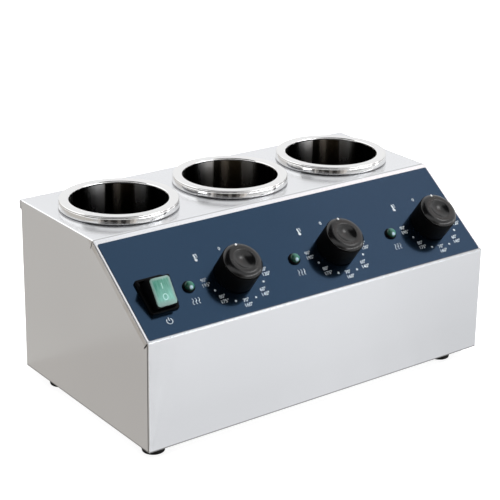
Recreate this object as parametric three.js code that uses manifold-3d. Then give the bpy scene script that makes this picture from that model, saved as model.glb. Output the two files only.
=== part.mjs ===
// Countertop sauce warmer: three heated round wells in a folded steel housing with a sloped
// control face that carries a power rocker and a thermostat knob and pilot lamp for each well.
// Millimetres. X runs to the right, Y from the front face to the rear, Z up. The origin is on the
// surface that the feet stand on, below the middle of the whole warmer.
import * as THREE from 'three';
import { mergeVertices } from 'three/addons/utils/BufferGeometryUtils.js';
import Module from 'manifold-3d';

const wasm = await Module();
wasm.setup();

// Housing
const bodyWidth = 400;
const bodyDepth = 226;
const bodyHeight = 174;
const frontHeight = 107;
const slopeDepth = 90.5;
const sheet = 1;
const bendRadius = 1.2;
const returnWidth = 12;
const lipDrop = 9;
const flangeWidth = 7;
const flangeProud = 0.6;
const seatGap = 0.3;
const overrun = 2;

// Wells
const wellCount = 3;
const wellEndMargin = 12;
const wellSpace = 14;
const wellDepth = 135;
const wellWall = 1;
const wellCorner = 9;
const beadWidth = 10.5;
const beadHeight = 8;
const beadShoulder = 5;
const beadInnerEdge = 1.5;

// Heater bands and their clamp screws
const bandHeight = 60;
const bandThickness = 2.5;
const bandDrop = 24;
const earGap = 6;
const earThickness = 1.5;
const earLength = 12;
const clampHoleRadius = 2.4;
const clampShankRadius = 2;
const clampHeadRadius = 3.8;
const clampHeadHeight = 2.6;
const clampTail = 3;

// Controls on the slope, measured along it from the front fold
const controlRow = 43;
const firstKnobFromLeft = 116.2;
const lastKnobFromRight = 43;
const lampFromKnob = 50.7;

// Knobs
const knobRadius = 20;
const knobHeight = 25;
const knobLift = 0.8;
const knobEdge = 1.6;
const knobWall = 2.2;
const hubRadius = 6;
const capHeight = 3.6;
const capStep = 0.7;
const grooveHeight = 0.9;
const dimpleRadius = 11.2;
const dimpleDepth = 4.2;
const pointerRadius = 1.2;
const pointerDepth = 1.4;
const pointerInset = 2.6;

// Thermostats, spindles and sensor lines
const spindleRadius = 3;
const spindleFlat = 0.8;
const spindleGrip = 10;
const spindleTail = 10;
const thermostatWidth = 38;
const thermostatHeight = 34;
const thermostatDepth = 23;
const bushingRadius = 5;
const bushingNutRadius = 8;
const bushingNutHeight = 2.2;
const bulbRadius = 3;
const bulbLength = 38;
const bulbDrop = 6;
const bulbBearing = 50;
const capillaryRadius = 1;
const capillaryLead = 12;
const leadRadius = 1.6;
const leadOffset = 11;
const leadSweep = 28;

// Pilot lamps
const lampRingRadius = 6.1;
const lampRingHeight = 1.4;
const lampBodyRadius = 4.8;
const lampBodyLength = 22;
const lensRadius = 4.9;
const lensDome = 3.4;
const lensStemRadius = 3.6;
const lensStemLength = 4;

// Overlay film
const filmThickness = 0.4;
const filmGap = 0.1;
const filmSideMargin = 2.2;
const filmFrontMargin = 2.2;
const filmTopMargin = 5.2;
const filmCorner = 1.5;
const filmHoleClearance = 0.4;

// Power switch
const switchFromLeft = 31;
const bezelWidth = 30;
const bezelLength = 37;
const bezelHeight = 2.5;
const bezelOverlap = 1.2;
const switchDepth = 25;
const switchWall = 2.2;
const switchEndWall = 1.2;
const pocketFloor = 11;
const rockerGap = 0.5;
const rockerTilt = 18;
const rockerReach = 14;
const rockerFaceLength = 28.4;
const rockerWaist = 3;
const rockerSkirtDrop = 6;
const rockerTaper = 0.8;
const rockerPivotRise = 0.5;
const pinRadius = 1.5;
const pinLength = 1.5;
const lensWidth = 20.7;
const lensLength = 26.5;
const lensThickness = 1.4;
const lensSink = 0.8;
const lensCorner = 3;
const bladeWidth = 4.8;
const bladeThickness = 0.8;
const bladeLength = 8;
const bladePitch = 12;

// Feet, base plate and rear panel
const footHeight = 9;
const footRadius = 11;
const footTaper = 0.8;
const footLeft = 16.5;
const footRight = 33.5;
const footFront = 18.5;
const footRear = 41;
const footRecessRadius = 5;
const footRecessDepth = 4;
const screwRadius = 2;
const screwHoleRadius = 2.4;
const screwHeadRadius = 3.7;
const screwHeadHeight = 2.3;
const screwTail = 5;
const nutRadius = 3.9;
const nutHeight = 3;
const plateMargin = 1.5;
const slotWidth = 3;
const slotLength = 34;
const slotPitch = 8;
const rearSlotRows = 5;
const rearSlotRise = 70;
const baseSlotRows = 4;
const screwEndMargin = 22;

// Cable gland, terminal block and earth stud
const glandFromRight = 40;
const glandRise = 32;
const glandBore = 4.2;
const glandFlangeRadius = 10.5;
const glandFlangeHeight = 3;
const glandCapRadius = 8;
const glandCapLength = 10;
const glandShankRadius = 6.5;
const glandShankLength = 11;
const glandNutRadius = 10;
const glandNutHeight = 4;
const blockWidth = 44;
const blockDepth = 18;
const blockHeight = 15;
const blockFromFront = 52;
const blockSlotWidth = 5;
const blockSlotDepth = 6;
const earthFromBlock = 26;

// Counts of steps round curves
const hexSides = 6;
const wellSteps = 32;
const knobSteps = 24;
const roundSteps = 16;
const smallSteps = 8;
const bendSteps = 2;
const beadSteps = 4;
const sensorSteps = 14;
const sensorSides = 5;
const lensSteps = 3;
const leadSteps = 12;
const leadSides = 6;

// Heights and places worked out from the sizes above
const bodyBottom = footHeight;
const foldHeight = bodyBottom + frontHeight;
const topHeight = bodyBottom + bodyHeight;
const slopeRise = bodyHeight - frontHeight;
const slopeAngle = Math.atan2(slopeRise, slopeDepth);
const slopeLength = Math.hypot(slopeRise, slopeDepth);
const halfWidth = bodyWidth / 2;
const lipFace = bodyDepth - sheet;
const rearPanelFace = lipFace - seatGap;
const sideRear = rearPanelFace - sheet - seatGap;
const rearReach = rearPanelFace + seatGap + glandFlangeHeight + glandCapLength;
const wellRow = (slopeDepth + bodyDepth) / 2;
const wellSpread = bodyWidth - 2 * wellEndMargin - (wellCount - 1) * wellSpace;
const wellPitch = wellSpread / wellCount + wellSpace;
const wellInner = (wellPitch - wellSpace) / 2 - beadWidth;
const wellOuter = wellInner + wellWall;
const wellHole = wellOuter + seatGap;
const beadSeat = topHeight + seatGap;
const wellFloor = topHeight - wellDepth;
const bandInner = wellOuter + seatGap;
const bandOuter = bandInner + bandThickness;
const bandTop = topHeight - bandDrop;
const bandBottom = bandTop - bandHeight;
const clampGrip = earGap / 2 + earThickness + seatGap;
const clampReach = clampGrip + nutHeight + clampTail;
const leadBearing = THREE.MathUtils.radToDeg(Math.acos((clampReach + 2 * leadRadius) / bandOuter));
const filmTop = filmGap + filmThickness;
const panelTop = filmTop + seatGap;
const bushingHole = bushingRadius + seatGap;
const bushingTop = panelTop + bushingNutHeight;
const hubBase = bushingTop + knobLift;
const knobBase = panelTop + knobLift;
const knobFace = knobBase + knobHeight;
const pointerReach = knobRadius - capStep - pointerInset;
const lampHole = lampBodyRadius + seatGap;
const switchHalfWidth = bezelWidth / 2 - bezelOverlap;
const switchHalfLength = bezelLength / 2 - bezelOverlap;
const pocketHalfWidth = switchHalfWidth - switchWall;
const pocketHalfLength = switchHalfLength - switchEndWall;
const thermostatTop = -sheet - seatGap;
const baseUnder = bodyBottom + sheet + seatGap;
const baseTop = baseUnder + sheet;
const switchX = switchFromLeft - halfWidth;
const glandX = halfWidth - glandFromRight;
const glandZ = bodyBottom + glandRise;

const knobPitch = (bodyWidth - firstKnobFromLeft - lastKnobFromRight) / (wellCount - 1);
const indices = [...Array(wellCount).keys()];
const wellX = indices.map((i) => (i - (wellCount - 1) / 2) * wellPitch);
const knobX = indices.map((i) => firstKnobFromLeft - halfWidth + i * knobPitch);
const lampX = knobX.map((x) => x - lampFromKnob);
const footPlaces = [
  [footLeft - halfWidth, footFront],
  [halfWidth - footRight, footFront],
  [footLeft - halfWidth, bodyDepth - footRear],
  [halfWidth - footRight, bodyDepth - footRear],
];
const rearScrewX = halfWidth - returnWidth / 2 - sheet / 2;
const rearScrewLow = bodyBottom + screwEndMargin;
const rearScrewHigh = topHeight - lipDrop - screwEndMargin;
const rearScrewPlaces = [-rearScrewX, rearScrewX].flatMap((x) => (
  [rearScrewLow, rearScrewHigh].map((z) => [x, z])
));
const panelMatrix = new THREE.Matrix4().makeRotationX(slopeAngle).setPosition(0, 0, foldHeight);

// Materials
const paint = (color, roughness, metalness) => (
  new THREE.MeshStandardMaterial({ color, roughness, metalness })
);
const brushedSteel = paint(0xc9c9c8, 0.35, 1);
const polishedSteel = paint(0xdadada, 0.12, 1);
const wellSteel = paint(0x8f8d88, 0.25, 1);
const navyFilm = paint(0x1d2c44, 0.3, 0);
const blackPlastic = paint(0x0b0b0c, 0.4, 0);
const whiteInk = paint(0xf2f4f6, 0.5, 0);
const greenLens = paint(0x4fa88f, 0.25, 0);
const blackRubber = paint(0x101010, 0.8, 0);
const zincSteel = paint(0xa9acae, 0.4, 1);
const micaBand = paint(0x9a8f7c, 0.6, 0.4);
const brass = paint(0xb08d4a, 0.35, 1);
const copperTube = paint(0xb5714a, 0.4, 1);
const glassSleeve = paint(0xd8d2c2, 0.9, 0);
const creamPlastic = paint(0xd9d4c4, 0.6, 0);

// Solids and cuts
function toSolid(geometry) {
  const bare = geometry.clone();
  bare.deleteAttribute('normal');
  bare.deleteAttribute('uv');
  const merged = mergeVertices(bare);
  const corners = merged.index.array;
  const kept = [];
  for (let i = 0; i < corners.length; i += 3) {
    const [a, b, c] = [corners[i], corners[i + 1], corners[i + 2]];
    if (a !== b && b !== c && c !== a) kept.push(a, b, c);
  }
  return new wasm.Manifold(new wasm.Mesh({
    numProp: 3,
    vertProperties: new Float32Array(merged.attributes.position.array),
    triVerts: new Uint32Array(kept),
  }));
}

function toGeometry(solid) {
  const mesh = solid.getMesh();
  const geometry = new THREE.BufferGeometry();
  geometry.setAttribute('position', new THREE.BufferAttribute(mesh.vertProperties, 3));
  geometry.setIndex(new THREE.BufferAttribute(mesh.triVerts, 1));
  geometry.computeVertexNormals();
  return geometry;
}

function join(first, ...others) {
  return toGeometry(others.reduce((sum, part) => sum.add(toSolid(part)), toSolid(first)));
}

function cut(stock, ...tools) {
  return toGeometry(tools.reduce((rest, tool) => rest.subtract(toSolid(tool)), toSolid(stock)));
}

function box(lowX, highX, lowY, highY, lowZ, highZ) {
  const geometry = new THREE.BoxGeometry(highX - lowX, highY - lowY, highZ - lowZ);
  return geometry.translate((lowX + highX) / 2, (lowY + highY) / 2, (lowZ + highZ) / 2);
}

function rod(radius, low, high, steps = roundSteps) {
  const geometry = new THREE.CylinderGeometry(radius, radius, high - low, steps);
  return geometry.rotateX(Math.PI / 2).translate(0, 0, (low + high) / 2);
}

function turned(profile, steps = roundSteps) {
  const points = profile.map(([r, z]) => new THREE.Vector2(r, z));
  return new THREE.LatheGeometry(points, steps).rotateX(Math.PI / 2);
}

function arcPoints(centreX, centreY, radiusX, radiusY, from, to, steps) {
  return [...Array(steps + 1).keys()].map((i) => {
    const angle = from + (to - from) * (i / steps);
    return [centreX + radiusX * Math.cos(angle), centreY + radiusY * Math.sin(angle)];
  });
}

function outline(points) {
  return new THREE.Shape(points.map(([x, y]) => new THREE.Vector2(x, y)));
}

function circlePath(x, y, radius, steps = roundSteps) {
  const points = arcPoints(x, y, radius, radius, 0, -2 * Math.PI, steps).slice(0, -1);
  return new THREE.Path(points.map(([px, py]) => new THREE.Vector2(px, py)));
}

function slotPath(x, y, length, width) {
  const straight = (length - width) / 2;
  const end = width / 2;
  const right = arcPoints(x + straight, y, end, end, -Math.PI / 2, Math.PI / 2, bendSteps);
  const left = arcPoints(x - straight, y, end, end, Math.PI / 2, 1.5 * Math.PI, bendSteps);
  return new THREE.Path([...right, ...left].map(([px, py]) => new THREE.Vector2(px, py)));
}

function roundedRectangle(lowX, highX, lowY, highY, radius, steps = bendSteps) {
  return [
    ...arcPoints(lowX + radius, lowY + radius, radius, radius, Math.PI, 1.5 * Math.PI, steps),
    ...arcPoints(highX - radius, lowY + radius, radius, radius, -Math.PI / 2, 0, steps),
    ...arcPoints(highX - radius, highY - radius, radius, radius, 0, Math.PI / 2, steps),
    ...arcPoints(lowX + radius, highY - radius, radius, radius, Math.PI / 2, Math.PI, steps),
  ];
}

function slab(shape, low, high) {
  const geometry = new THREE.ExtrudeGeometry(shape, { depth: high - low, bevelEnabled: false });
  return geometry.translate(0, 0, low);
}

// Turns a shape drawn in Y and Z, and extruded along its own third axis, into the warmer's frame.
function alongX(geometry) {
  const axes = new THREE.Matrix4().makeBasis(
    new THREE.Vector3(0, 1, 0),
    new THREE.Vector3(0, 0, 1),
    new THREE.Vector3(1, 0, 0),
  );
  return geometry.applyMatrix4(axes);
}

// Turns a shape drawn in X and Z so that it stands upright and is extruded towards the front.
function upright(geometry) {
  return geometry.rotateX(Math.PI / 2);
}

// Folded sheet: rounds the inner corners of an open path.
function filletPath(points, radius) {
  const rounded = [points[0]];
  for (let i = 1; i < points.length - 1; i += 1) {
    const corner = new THREE.Vector2(...points[i]);
    const back = new THREE.Vector2(...points[i - 1]).sub(corner).normalize();
    const ahead = new THREE.Vector2(...points[i + 1]).sub(corner).normalize();
    const half = Math.acos(back.dot(ahead)) / 2;
    const reach = radius / Math.tan(half);
    const middle = back.clone().add(ahead).normalize().multiplyScalar(radius / Math.sin(half));
    const centre = corner.clone().add(middle);
    const start = corner.clone().addScaledVector(back, reach).sub(centre).angle();
    const end = corner.clone().addScaledVector(ahead, reach).sub(centre).angle();
    const turn = THREE.MathUtils.euclideanModulo(end - start + Math.PI, 2 * Math.PI) - Math.PI;
    rounded.push(...arcPoints(centre.x, centre.y, radius, radius, start, start + turn, bendSteps));
  }
  rounded.push(points[points.length - 1]);
  return rounded;
}

// Moves an open path to its right by the sheet's thickness.
function offsetPath(points, distance) {
  const normals = points.slice(1).map(([x, y], i) => {
    const [px, py] = points[i];
    const length = Math.hypot(x - px, y - py);
    return new THREE.Vector2((y - py) / length, (px - x) / length);
  });
  return points.map(([x, y], i) => {
    const before = normals[Math.max(i - 1, 0)];
    const after = normals[Math.min(i, normals.length - 1)];
    const mitre = before.clone().add(after).normalize();
    mitre.multiplyScalar(distance / mitre.dot(after));
    return [x + mitre.x, y + mitre.y];
  });
}

// One welded shell: the front, slope, top and rear lip are folded from one strip, and the sides
// have return flanges along the bottom and the rear. The slope's edge flanges lap the sides.
function housingShell() {
  const foldLine = [
    [returnWidth, bodyBottom],
    [0, bodyBottom],
    [0, foldHeight],
    [slopeDepth, topHeight],
    [bodyDepth, topHeight],
    [bodyDepth, topHeight - lipDrop],
  ];
  const outside = filletPath(foldLine, bendRadius + sheet);
  const inside = filletPath(offsetPath(foldLine, sheet), bendRadius);
  const strip = alongX(slab(outline([...outside, ...inside.reverse()]), -halfWidth, halfWidth));
  const sideLine = [...foldLine.slice(0, 4), [sideRear, topHeight]];
  const sideShape = outline([...filletPath(sideLine, bendRadius + sheet), [sideRear, bodyBottom]]);
  const bandPoint = (along, below) => [
    along * Math.cos(slopeAngle) + below * Math.sin(slopeAngle),
    foldHeight + along * Math.sin(slopeAngle) - below * Math.cos(slopeAngle),
  ];
  const bandShape = outline([
    bandPoint(bendRadius + sheet, seatGap),
    bandPoint(slopeLength - bendRadius - sheet, seatGap),
    bandPoint(slopeLength, flangeWidth),
    bandPoint(flangeWidth, flangeWidth),
  ]);
  const parts = [-1, 1].flatMap((side) => {
    const rim = side > 0 ? halfWidth - sheet : -halfWidth;
    const inner = side > 0 ? halfWidth - returnWidth : -halfWidth + sheet / 2;
    const flangeEnd = inner + returnWidth - sheet / 2;
    const bandStart = side > 0 ? halfWidth - sheet / 2 : -halfWidth - flangeProud;
    return [
      alongX(slab(sideShape, rim, rim + sheet)),
      box(inner, flangeEnd, sheet / 2, sideRear, bodyBottom, bodyBottom + sheet),
      box(inner, flangeEnd, sideRear - sheet, sideRear, bodyBottom, topHeight - sheet / 2),
      alongX(slab(bandShape, bandStart, bandStart + flangeProud + sheet / 2)),
    ];
  });
  const shell = join(strip, ...parts);
  const throughTop = (x) => (
    rod(wellHole, topHeight - sheet - overrun, topHeight + overrun, wellSteps)
      .translate(x, wellRow, 0)
  );
  const throughSlope = (geometry) => geometry.applyMatrix4(panelMatrix);
  const low = -sheet - overrun;
  return cut(
    shell,
    ...wellX.map(throughTop),
    ...knobX.map((x) => throughSlope(rod(bushingHole, low, overrun).translate(x, controlRow, 0))),
    ...lampX.map((x) => throughSlope(rod(lampHole, low, overrun).translate(x, controlRow, 0))),
    throughSlope(switchCutter(low, overrun)),
    ...rearScrewPlaces.map(([x, z]) => (
      upright(rod(screwHoleRadius, 0, sheet + 2 * overrun, smallSteps))
        .translate(x, sideRear + overrun, z)
    )),
  );
}

function switchCutter(low, high) {
  return box(
    switchX - switchHalfWidth - seatGap,
    switchX + switchHalfWidth + seatGap,
    controlRow - switchHalfLength - seatGap,
    controlRow + switchHalfLength + seatGap,
    low,
    high,
  );
}

function slotField(shape, centreX, centreY, rows) {
  for (let row = 0; row < rows; row += 1) {
    const y = centreY + (row - (rows - 1) / 2) * slotPitch;
    shape.holes.push(slotPath(centreX, y, slotLength, slotWidth));
  }
}

function rearPanel() {
  const low = bodyBottom + plateMargin;
  const high = topHeight - sheet - seatGap - plateMargin;
  const side = halfWidth - plateMargin;
  const shape = outline([[-side, low], [side, low], [side, high], [-side, high]]);
  for (const x of wellX) slotField(shape, x, bodyBottom + rearSlotRise, rearSlotRows);
  for (const [x, z] of rearScrewPlaces) {
    shape.holes.push(circlePath(x, z, screwHoleRadius, smallSteps));
  }
  shape.holes.push(circlePath(glandX, glandZ, glandShankRadius + seatGap));
  return upright(slab(shape, 0, sheet)).translate(0, rearPanelFace, 0);
}

function basePlate() {
  const side = halfWidth - sheet - plateMargin;
  const front = sheet + plateMargin;
  const rear = sideRear - sheet - plateMargin;
  const shape = outline([[-side, front], [side, front], [side, rear], [-side, rear]]);
  for (const x of wellX) slotField(shape, x, wellRow, baseSlotRows);
  for (const [x, y] of footPlaces) {
    shape.holes.push(circlePath(x, y, screwHoleRadius, smallSteps));
  }
  shape.holes.push(circlePath(earthFromBlock, blockFromFront, screwHoleRadius, smallSteps));
  return slab(shape, baseUnder, baseTop);
}

// The printed film on the slope, with holes for what stands through it.
function controlOverlay() {
  const side = halfWidth - filmSideMargin;
  const rear = slopeLength - filmTopMargin;
  const shape = outline(roundedRectangle(-side, side, filmFrontMargin, rear, filmCorner));
  for (const x of knobX) {
    shape.holes.push(circlePath(x, controlRow, bushingHole + filmHoleClearance));
  }
  for (const x of lampX) {
    shape.holes.push(circlePath(x, controlRow, lampHole + filmHoleClearance));
  }
  const wide = switchHalfWidth + seatGap + filmHoleClearance;
  const long = switchHalfLength + seatGap + filmHoleClearance;
  shape.holes.push(new THREE.Path([
    new THREE.Vector2(switchX - wide, controlRow - long),
    new THREE.Vector2(switchX - wide, controlRow + long),
    new THREE.Vector2(switchX + wide, controlRow + long),
    new THREE.Vector2(switchX + wide, controlRow - long),
  ]));
  return slab(shape, filmGap, filmTop);
}

// A drawn pot whose rolled rim hangs on the top sheet.
function well() {
  const outerCorner = wellCorner + wellWall;
  const beadOuter = wellInner + beadWidth;
  const innerEdge = wellInner + beadInnerEdge;
  const edgeHeight = beadSeat + beadHeight - beadInnerEdge;
  const under = wellFloor - wellWall;
  return turned([
    [0, under],
    ...arcPoints(
      wellOuter - outerCorner, under + outerCorner, outerCorner, outerCorner,
      -Math.PI / 2, 0, bendSteps,
    ),
    [wellOuter, beadSeat],
    ...arcPoints(
      beadOuter - beadShoulder, beadSeat, beadShoulder, beadHeight, 0, Math.PI / 2, beadSteps,
    ),
    ...arcPoints(
      innerEdge, edgeHeight, beadInnerEdge, beadInnerEdge, Math.PI / 2, Math.PI, bendSteps,
    ),
    ...arcPoints(
      wellInner - wellCorner, wellFloor + wellCorner, wellCorner, wellCorner,
      0, -Math.PI / 2, bendSteps,
    ),
    [0, wellFloor],
  ], wellSteps);
}

// A split band with two ears, which its screw draws together round the well.
function heaterBand() {
  const split = Math.asin(earGap / 2 / bandInner);
  const from = -Math.PI / 2 + split;
  const to = 1.5 * Math.PI - split;
  const ring = slab(outline([
    ...arcPoints(0, 0, bandOuter, bandOuter, from, to, wellSteps),
    ...arcPoints(0, 0, bandInner, bandInner, to, from, wellSteps),
  ]), bandBottom, bandTop);
  const root = -bandInner - bandThickness / 2;
  const ear = (low) => (
    box(low, low + earThickness, -bandOuter - earLength, root, bandBottom, bandTop)
  );
  const banded = join(ring, ear(earGap / 2), ear(-earGap / 2 - earThickness));
  const half = earGap / 2 + earThickness + overrun;
  return cut(banded, clampPlace(rod(clampHoleRadius, -half, half, smallSteps)));
}

function clampPlace(geometry) {
  return geometry.rotateY(Math.PI / 2)
    .translate(0, -bandOuter - earLength / 2, (bandTop + bandBottom) / 2);
}

function clampScrew() {
  return clampPlace(turned([
    [0, -clampGrip - clampHeadHeight],
    [clampHeadRadius, -clampGrip - clampHeadHeight],
    [clampHeadRadius, -clampGrip],
    [clampShankRadius, -clampGrip],
    [clampShankRadius, clampGrip],
    [nutRadius, clampGrip],
    [nutRadius, clampGrip + nutHeight],
    [clampShankRadius, clampGrip + nutHeight],
    [clampShankRadius, clampReach],
    [0, clampReach],
  ], smallSteps));
}

// The thermostat sits behind the slope, and its bushing comes through to just under the knob.
function thermostat() {
  const low = thermostatTop - thermostatDepth;
  const can = box(
    -thermostatWidth / 2, thermostatWidth / 2,
    -thermostatHeight / 2, thermostatHeight / 2,
    low, thermostatTop,
  );
  const bushing = rod(bushingRadius, thermostatTop - overrun, bushingTop);
  const bore = rod(spindleRadius + seatGap, -spindleTail - seatGap, bushingTop + overrun);
  return cut(join(can, bushing), bore);
}

// The nut that holds the bushing to the panel, out of sight inside the hollow knob.
function bushingNut() {
  const shape = outline(
    arcPoints(0, 0, bushingNutRadius, bushingNutRadius, 0, 2 * Math.PI, hexSides).slice(0, -1),
  );
  shape.holes.push(circlePath(0, 0, bushingRadius + seatGap));
  return slab(shape, panelTop, panelTop + bushingNutHeight);
}

function flatted(radius, low, high) {
  const reach = radius + overrun;
  return box(-reach, reach, radius - spindleFlat, reach, low, high);
}

function spindle() {
  const top = hubBase + spindleGrip;
  return cut(
    rod(spindleRadius, -spindleTail, top),
    flatted(spindleRadius, bushingTop, top + overrun),
  );
}

// A hollow knob with a hub round the spindle, a stepped cap and a finger dimple in its face.
function knob() {
  const capRadius = knobRadius - capStep;
  const capBase = knobFace - capHeight;
  const roof = knobFace - dimpleDepth - knobWall;
  const sphere = (dimpleRadius ** 2 + dimpleDepth ** 2) / (2 * dimpleDepth);
  const sweep = Math.asin(dimpleRadius / sphere);
  const body = turned([
    [0, hubBase],
    [hubRadius, hubBase],
    [hubRadius, roof],
    [knobRadius - knobWall, roof],
    [knobRadius - knobWall, knobBase],
    [knobRadius, knobBase],
    [knobRadius, capBase - grooveHeight],
    [capRadius - capStep, capBase - grooveHeight],
    [capRadius - capStep, capBase],
    [capRadius, capBase],
    ...arcPoints(
      capRadius - knobEdge, knobFace - knobEdge, knobEdge, knobEdge,
      0, Math.PI / 2, bendSteps,
    ),
    ...arcPoints(
      0, knobFace - dimpleDepth + sphere, sphere, sphere,
      -Math.PI / 2 + sweep, -Math.PI / 2, bendSteps,
    ),
  ], knobSteps);
  const boreTop = hubBase + spindleGrip + seatGap;
  const boreRadius = spindleRadius + seatGap;
  const bore = cut(
    rod(boreRadius, hubBase - overrun, boreTop),
    flatted(boreRadius, hubBase - 2 * overrun, boreTop + overrun),
  );
  const pocket = rod(
    pointerRadius + filmGap, knobFace - pointerDepth, knobFace + overrun, smallSteps,
  );
  return cut(body, bore, pocket.translate(0, pointerReach, 0));
}

// The white dot that is pressed into the knob's face.
function pointer() {
  const low = knobFace - pointerDepth + filmGap;
  return rod(pointerRadius, low, knobFace, smallSteps).translate(0, pointerReach, 0);
}

// A tube that follows a smooth curve through hand-placed points.
function tube(points, radius, steps, sides) {
  const curve = new THREE.CatmullRomCurve3(points.map((p) => new THREE.Vector3(...p)));
  const section = outline(arcPoints(0, 0, radius, radius, 0, 2 * Math.PI, sides).slice(0, -1));
  return new THREE.ExtrudeGeometry(section, { steps, extrudePath: curve });
}

// A place behind the middle of the slope.
function behindSlope(x, height) {
  return new THREE.Vector3(x, controlRow, height).applyMatrix4(panelMatrix).toArray();
}

// Where a line leaves the thermostat's back, and the places a little way behind it.
function backOfThermostat(index, offsetX, distance) {
  const height = thermostatTop - thermostatDepth - seatGap - distance;
  return behindSlope(knobX[index] + offsetX, height);
}

function aroundWell(index, radius, bearing, z) {
  const angle = THREE.MathUtils.degToRad(-bearing);
  return [wellX[index] + radius * Math.cos(angle), wellRow + radius * Math.sin(angle), z];
}

// The bulb lies against the well's wall under the heater band, and a thin tube joins it on.
function sensorLine(index) {
  const centre = wellOuter + seatGap + bulbRadius;
  const high = bandBottom - bulbDrop;
  const exit = high - bulbRadius;
  const bulb = rod(bulbRadius, high - bulbLength, high, smallSteps);
  const [x, y] = aroundWell(index, centre, bulbBearing, exit);
  const line = tube([
    aroundWell(index, centre, bulbBearing, exit),
    aroundWell(index, centre + capillaryLead, bulbBearing, exit),
    backOfThermostat(index, 0, 2 * capillaryLead),
    backOfThermostat(index, 0, capillaryLead),
    backOfThermostat(index, 0, 0),
  ], capillaryRadius, sensorSteps, sensorSides);
  return join(bulb.translate(x, y, 0), line);
}

// The sleeve that carries a heater band's two wires to its thermostat.
function heaterLead(index) {
  const height = (bandTop + bandBottom) / 2;
  const start = bandOuter + seatGap;
  return tube([
    aroundWell(index, start, leadBearing, height),
    aroundWell(index, start + capillaryLead, leadBearing, height),
    backOfThermostat(index, -leadOffset, 2 * capillaryLead),
    backOfThermostat(index, -leadOffset, capillaryLead),
    backOfThermostat(index, -leadOffset, 0),
  ], leadRadius, leadSteps, leadSides);
}

// The sleeve with the wires from the terminal block up to the power switch.
function switchLead() {
  const back = -switchDepth - bladeLength - seatGap;
  const blockMiddle = baseTop + seatGap + blockHeight / 2;
  return tube([
    behindSlope(switchX, back),
    behindSlope(switchX, back - capillaryLead),
    [switchX + leadSweep / 2, blockFromFront, blockMiddle + leadSweep],
    [switchX + 2 * leadSweep, blockFromFront, blockMiddle],
    [-earthFromBlock - blockWidth / 2 - seatGap, blockFromFront, blockMiddle],
  ], leadRadius, 2 * leadSteps, leadSides);
}

function lampBody() {
  const top = panelTop + lampRingHeight;
  return turned([
    [0, -lampBodyLength],
    [lampBodyRadius, -lampBodyLength],
    [lampBodyRadius, panelTop],
    [lampRingRadius, panelTop],
    [lampRingRadius, top],
    [lensStemRadius + seatGap, top],
    [lensStemRadius + seatGap, top - lensStemLength - seatGap],
    [0, top - lensStemLength - seatGap],
  ]);
}

function lampLens() {
  const ringTop = panelTop + lampRingHeight;
  const seat = ringTop + filmGap;
  return turned([
    [0, ringTop - lensStemLength],
    [lensStemRadius, ringTop - lensStemLength],
    [lensStemRadius, seat],
    ...arcPoints(0, seat, lensRadius, lensDome, 0, Math.PI / 2, lensSteps),
  ]);
}

// Bezel and housing of the power switch, in one moulding with four blades at the back.
function switchFrame() {
  const low = -switchDepth;
  const top = panelTop + bezelHeight;
  const bezel = slab(outline(roundedRectangle(
    -bezelWidth / 2, bezelWidth / 2, -bezelLength / 2, bezelLength / 2, bezelHeight,
  )), panelTop, top);
  const can = box(
    -switchHalfWidth, switchHalfWidth, -switchHalfLength, switchHalfLength,
    low, panelTop + bezelHeight / 2,
  );
  const blades = [-1, 1].flatMap((side) => [-1, 1].map((end) => {
    const x = side * bladePitch / 2;
    const y = end * bladePitch / 2;
    return box(
      x - bladeWidth / 2, x + bladeWidth / 2,
      y - bladeThickness / 2, y + bladeThickness / 2,
      low - bladeLength, low + overrun,
    );
  }));
  const pocket = box(
    -pocketHalfWidth, pocketHalfWidth, -pocketHalfLength, pocketHalfLength,
    low + pocketFloor, top + overrun,
  );
  const pins = rod(pinRadius + seatGap, -bezelWidth, bezelWidth, smallSteps)
    .rotateY(Math.PI / 2).translate(0, 0, rockerPivotRise);
  const pinLimit = pocketHalfWidth + pinLength + seatGap;
  const pinHoles = toGeometry(toSolid(pins).intersect(toSolid(
    box(-pinLimit, pinLimit, -bezelLength, bezelLength, low, top),
  )));
  return cut(join(bezel, can, ...blades), pocket, pinHoles);
}

// The rocker about its pivot: a flat face over sides that taper to a round skirt, on two pins.
function rocker() {
  const half = rockerFaceLength / 2;
  const waist = half - rockerTaper;
  const skirt = Math.hypot(waist, rockerWaist);
  const high = Math.atan2(rockerWaist, waist);
  const low = -Math.asin(rockerSkirtDrop / skirt);
  const side = pocketHalfWidth - rockerGap;
  const block = alongX(slab(outline([
    [half, rockerReach],
    [-half, rockerReach],
    ...arcPoints(0, 0, skirt, skirt, Math.PI - high, Math.PI - low, bendSteps),
    ...arcPoints(0, 0, skirt, skirt, low, high, bendSteps),
  ]), -side, side));
  const pin = rod(pinRadius, -side - pinLength, side + pinLength, smallSteps)
    .rotateY(Math.PI / 2);
  const pocket = slab(
    outline(lensOutline(filmGap)), rockerReach - lensSink, rockerReach + overrun,
  );
  return cut(join(block, pin), pocket);
}

function lensOutline(grow) {
  const wide = lensWidth / 2 + grow;
  const long = lensLength / 2 + grow;
  return roundedRectangle(-wide, wide, -long, long, lensCorner);
}

function rockerLens() {
  const seat = rockerReach - lensSink + filmGap;
  return slab(outline(lensOutline(0)), seat, seat + lensThickness);
}

// A rubber foot with a recess for its screw and a boss that meets the base plate.
function foot() {
  const top = bodyBottom - seatGap;
  const bossTop = baseUnder - seatGap;
  const bossRadius = footLeft - returnWidth - seatGap;
  return turned([
    [screwHoleRadius, bossTop],
    [screwHoleRadius, footRecessDepth],
    [footRecessRadius, footRecessDepth],
    [footRecessRadius, 0],
    [footRadius - footTaper, 0],
    [footRadius, footTaper],
    [footRadius, top],
    [bossRadius, top],
    [bossRadius, bossTop],
    [screwHoleRadius, bossTop],
  ]);
}

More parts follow.
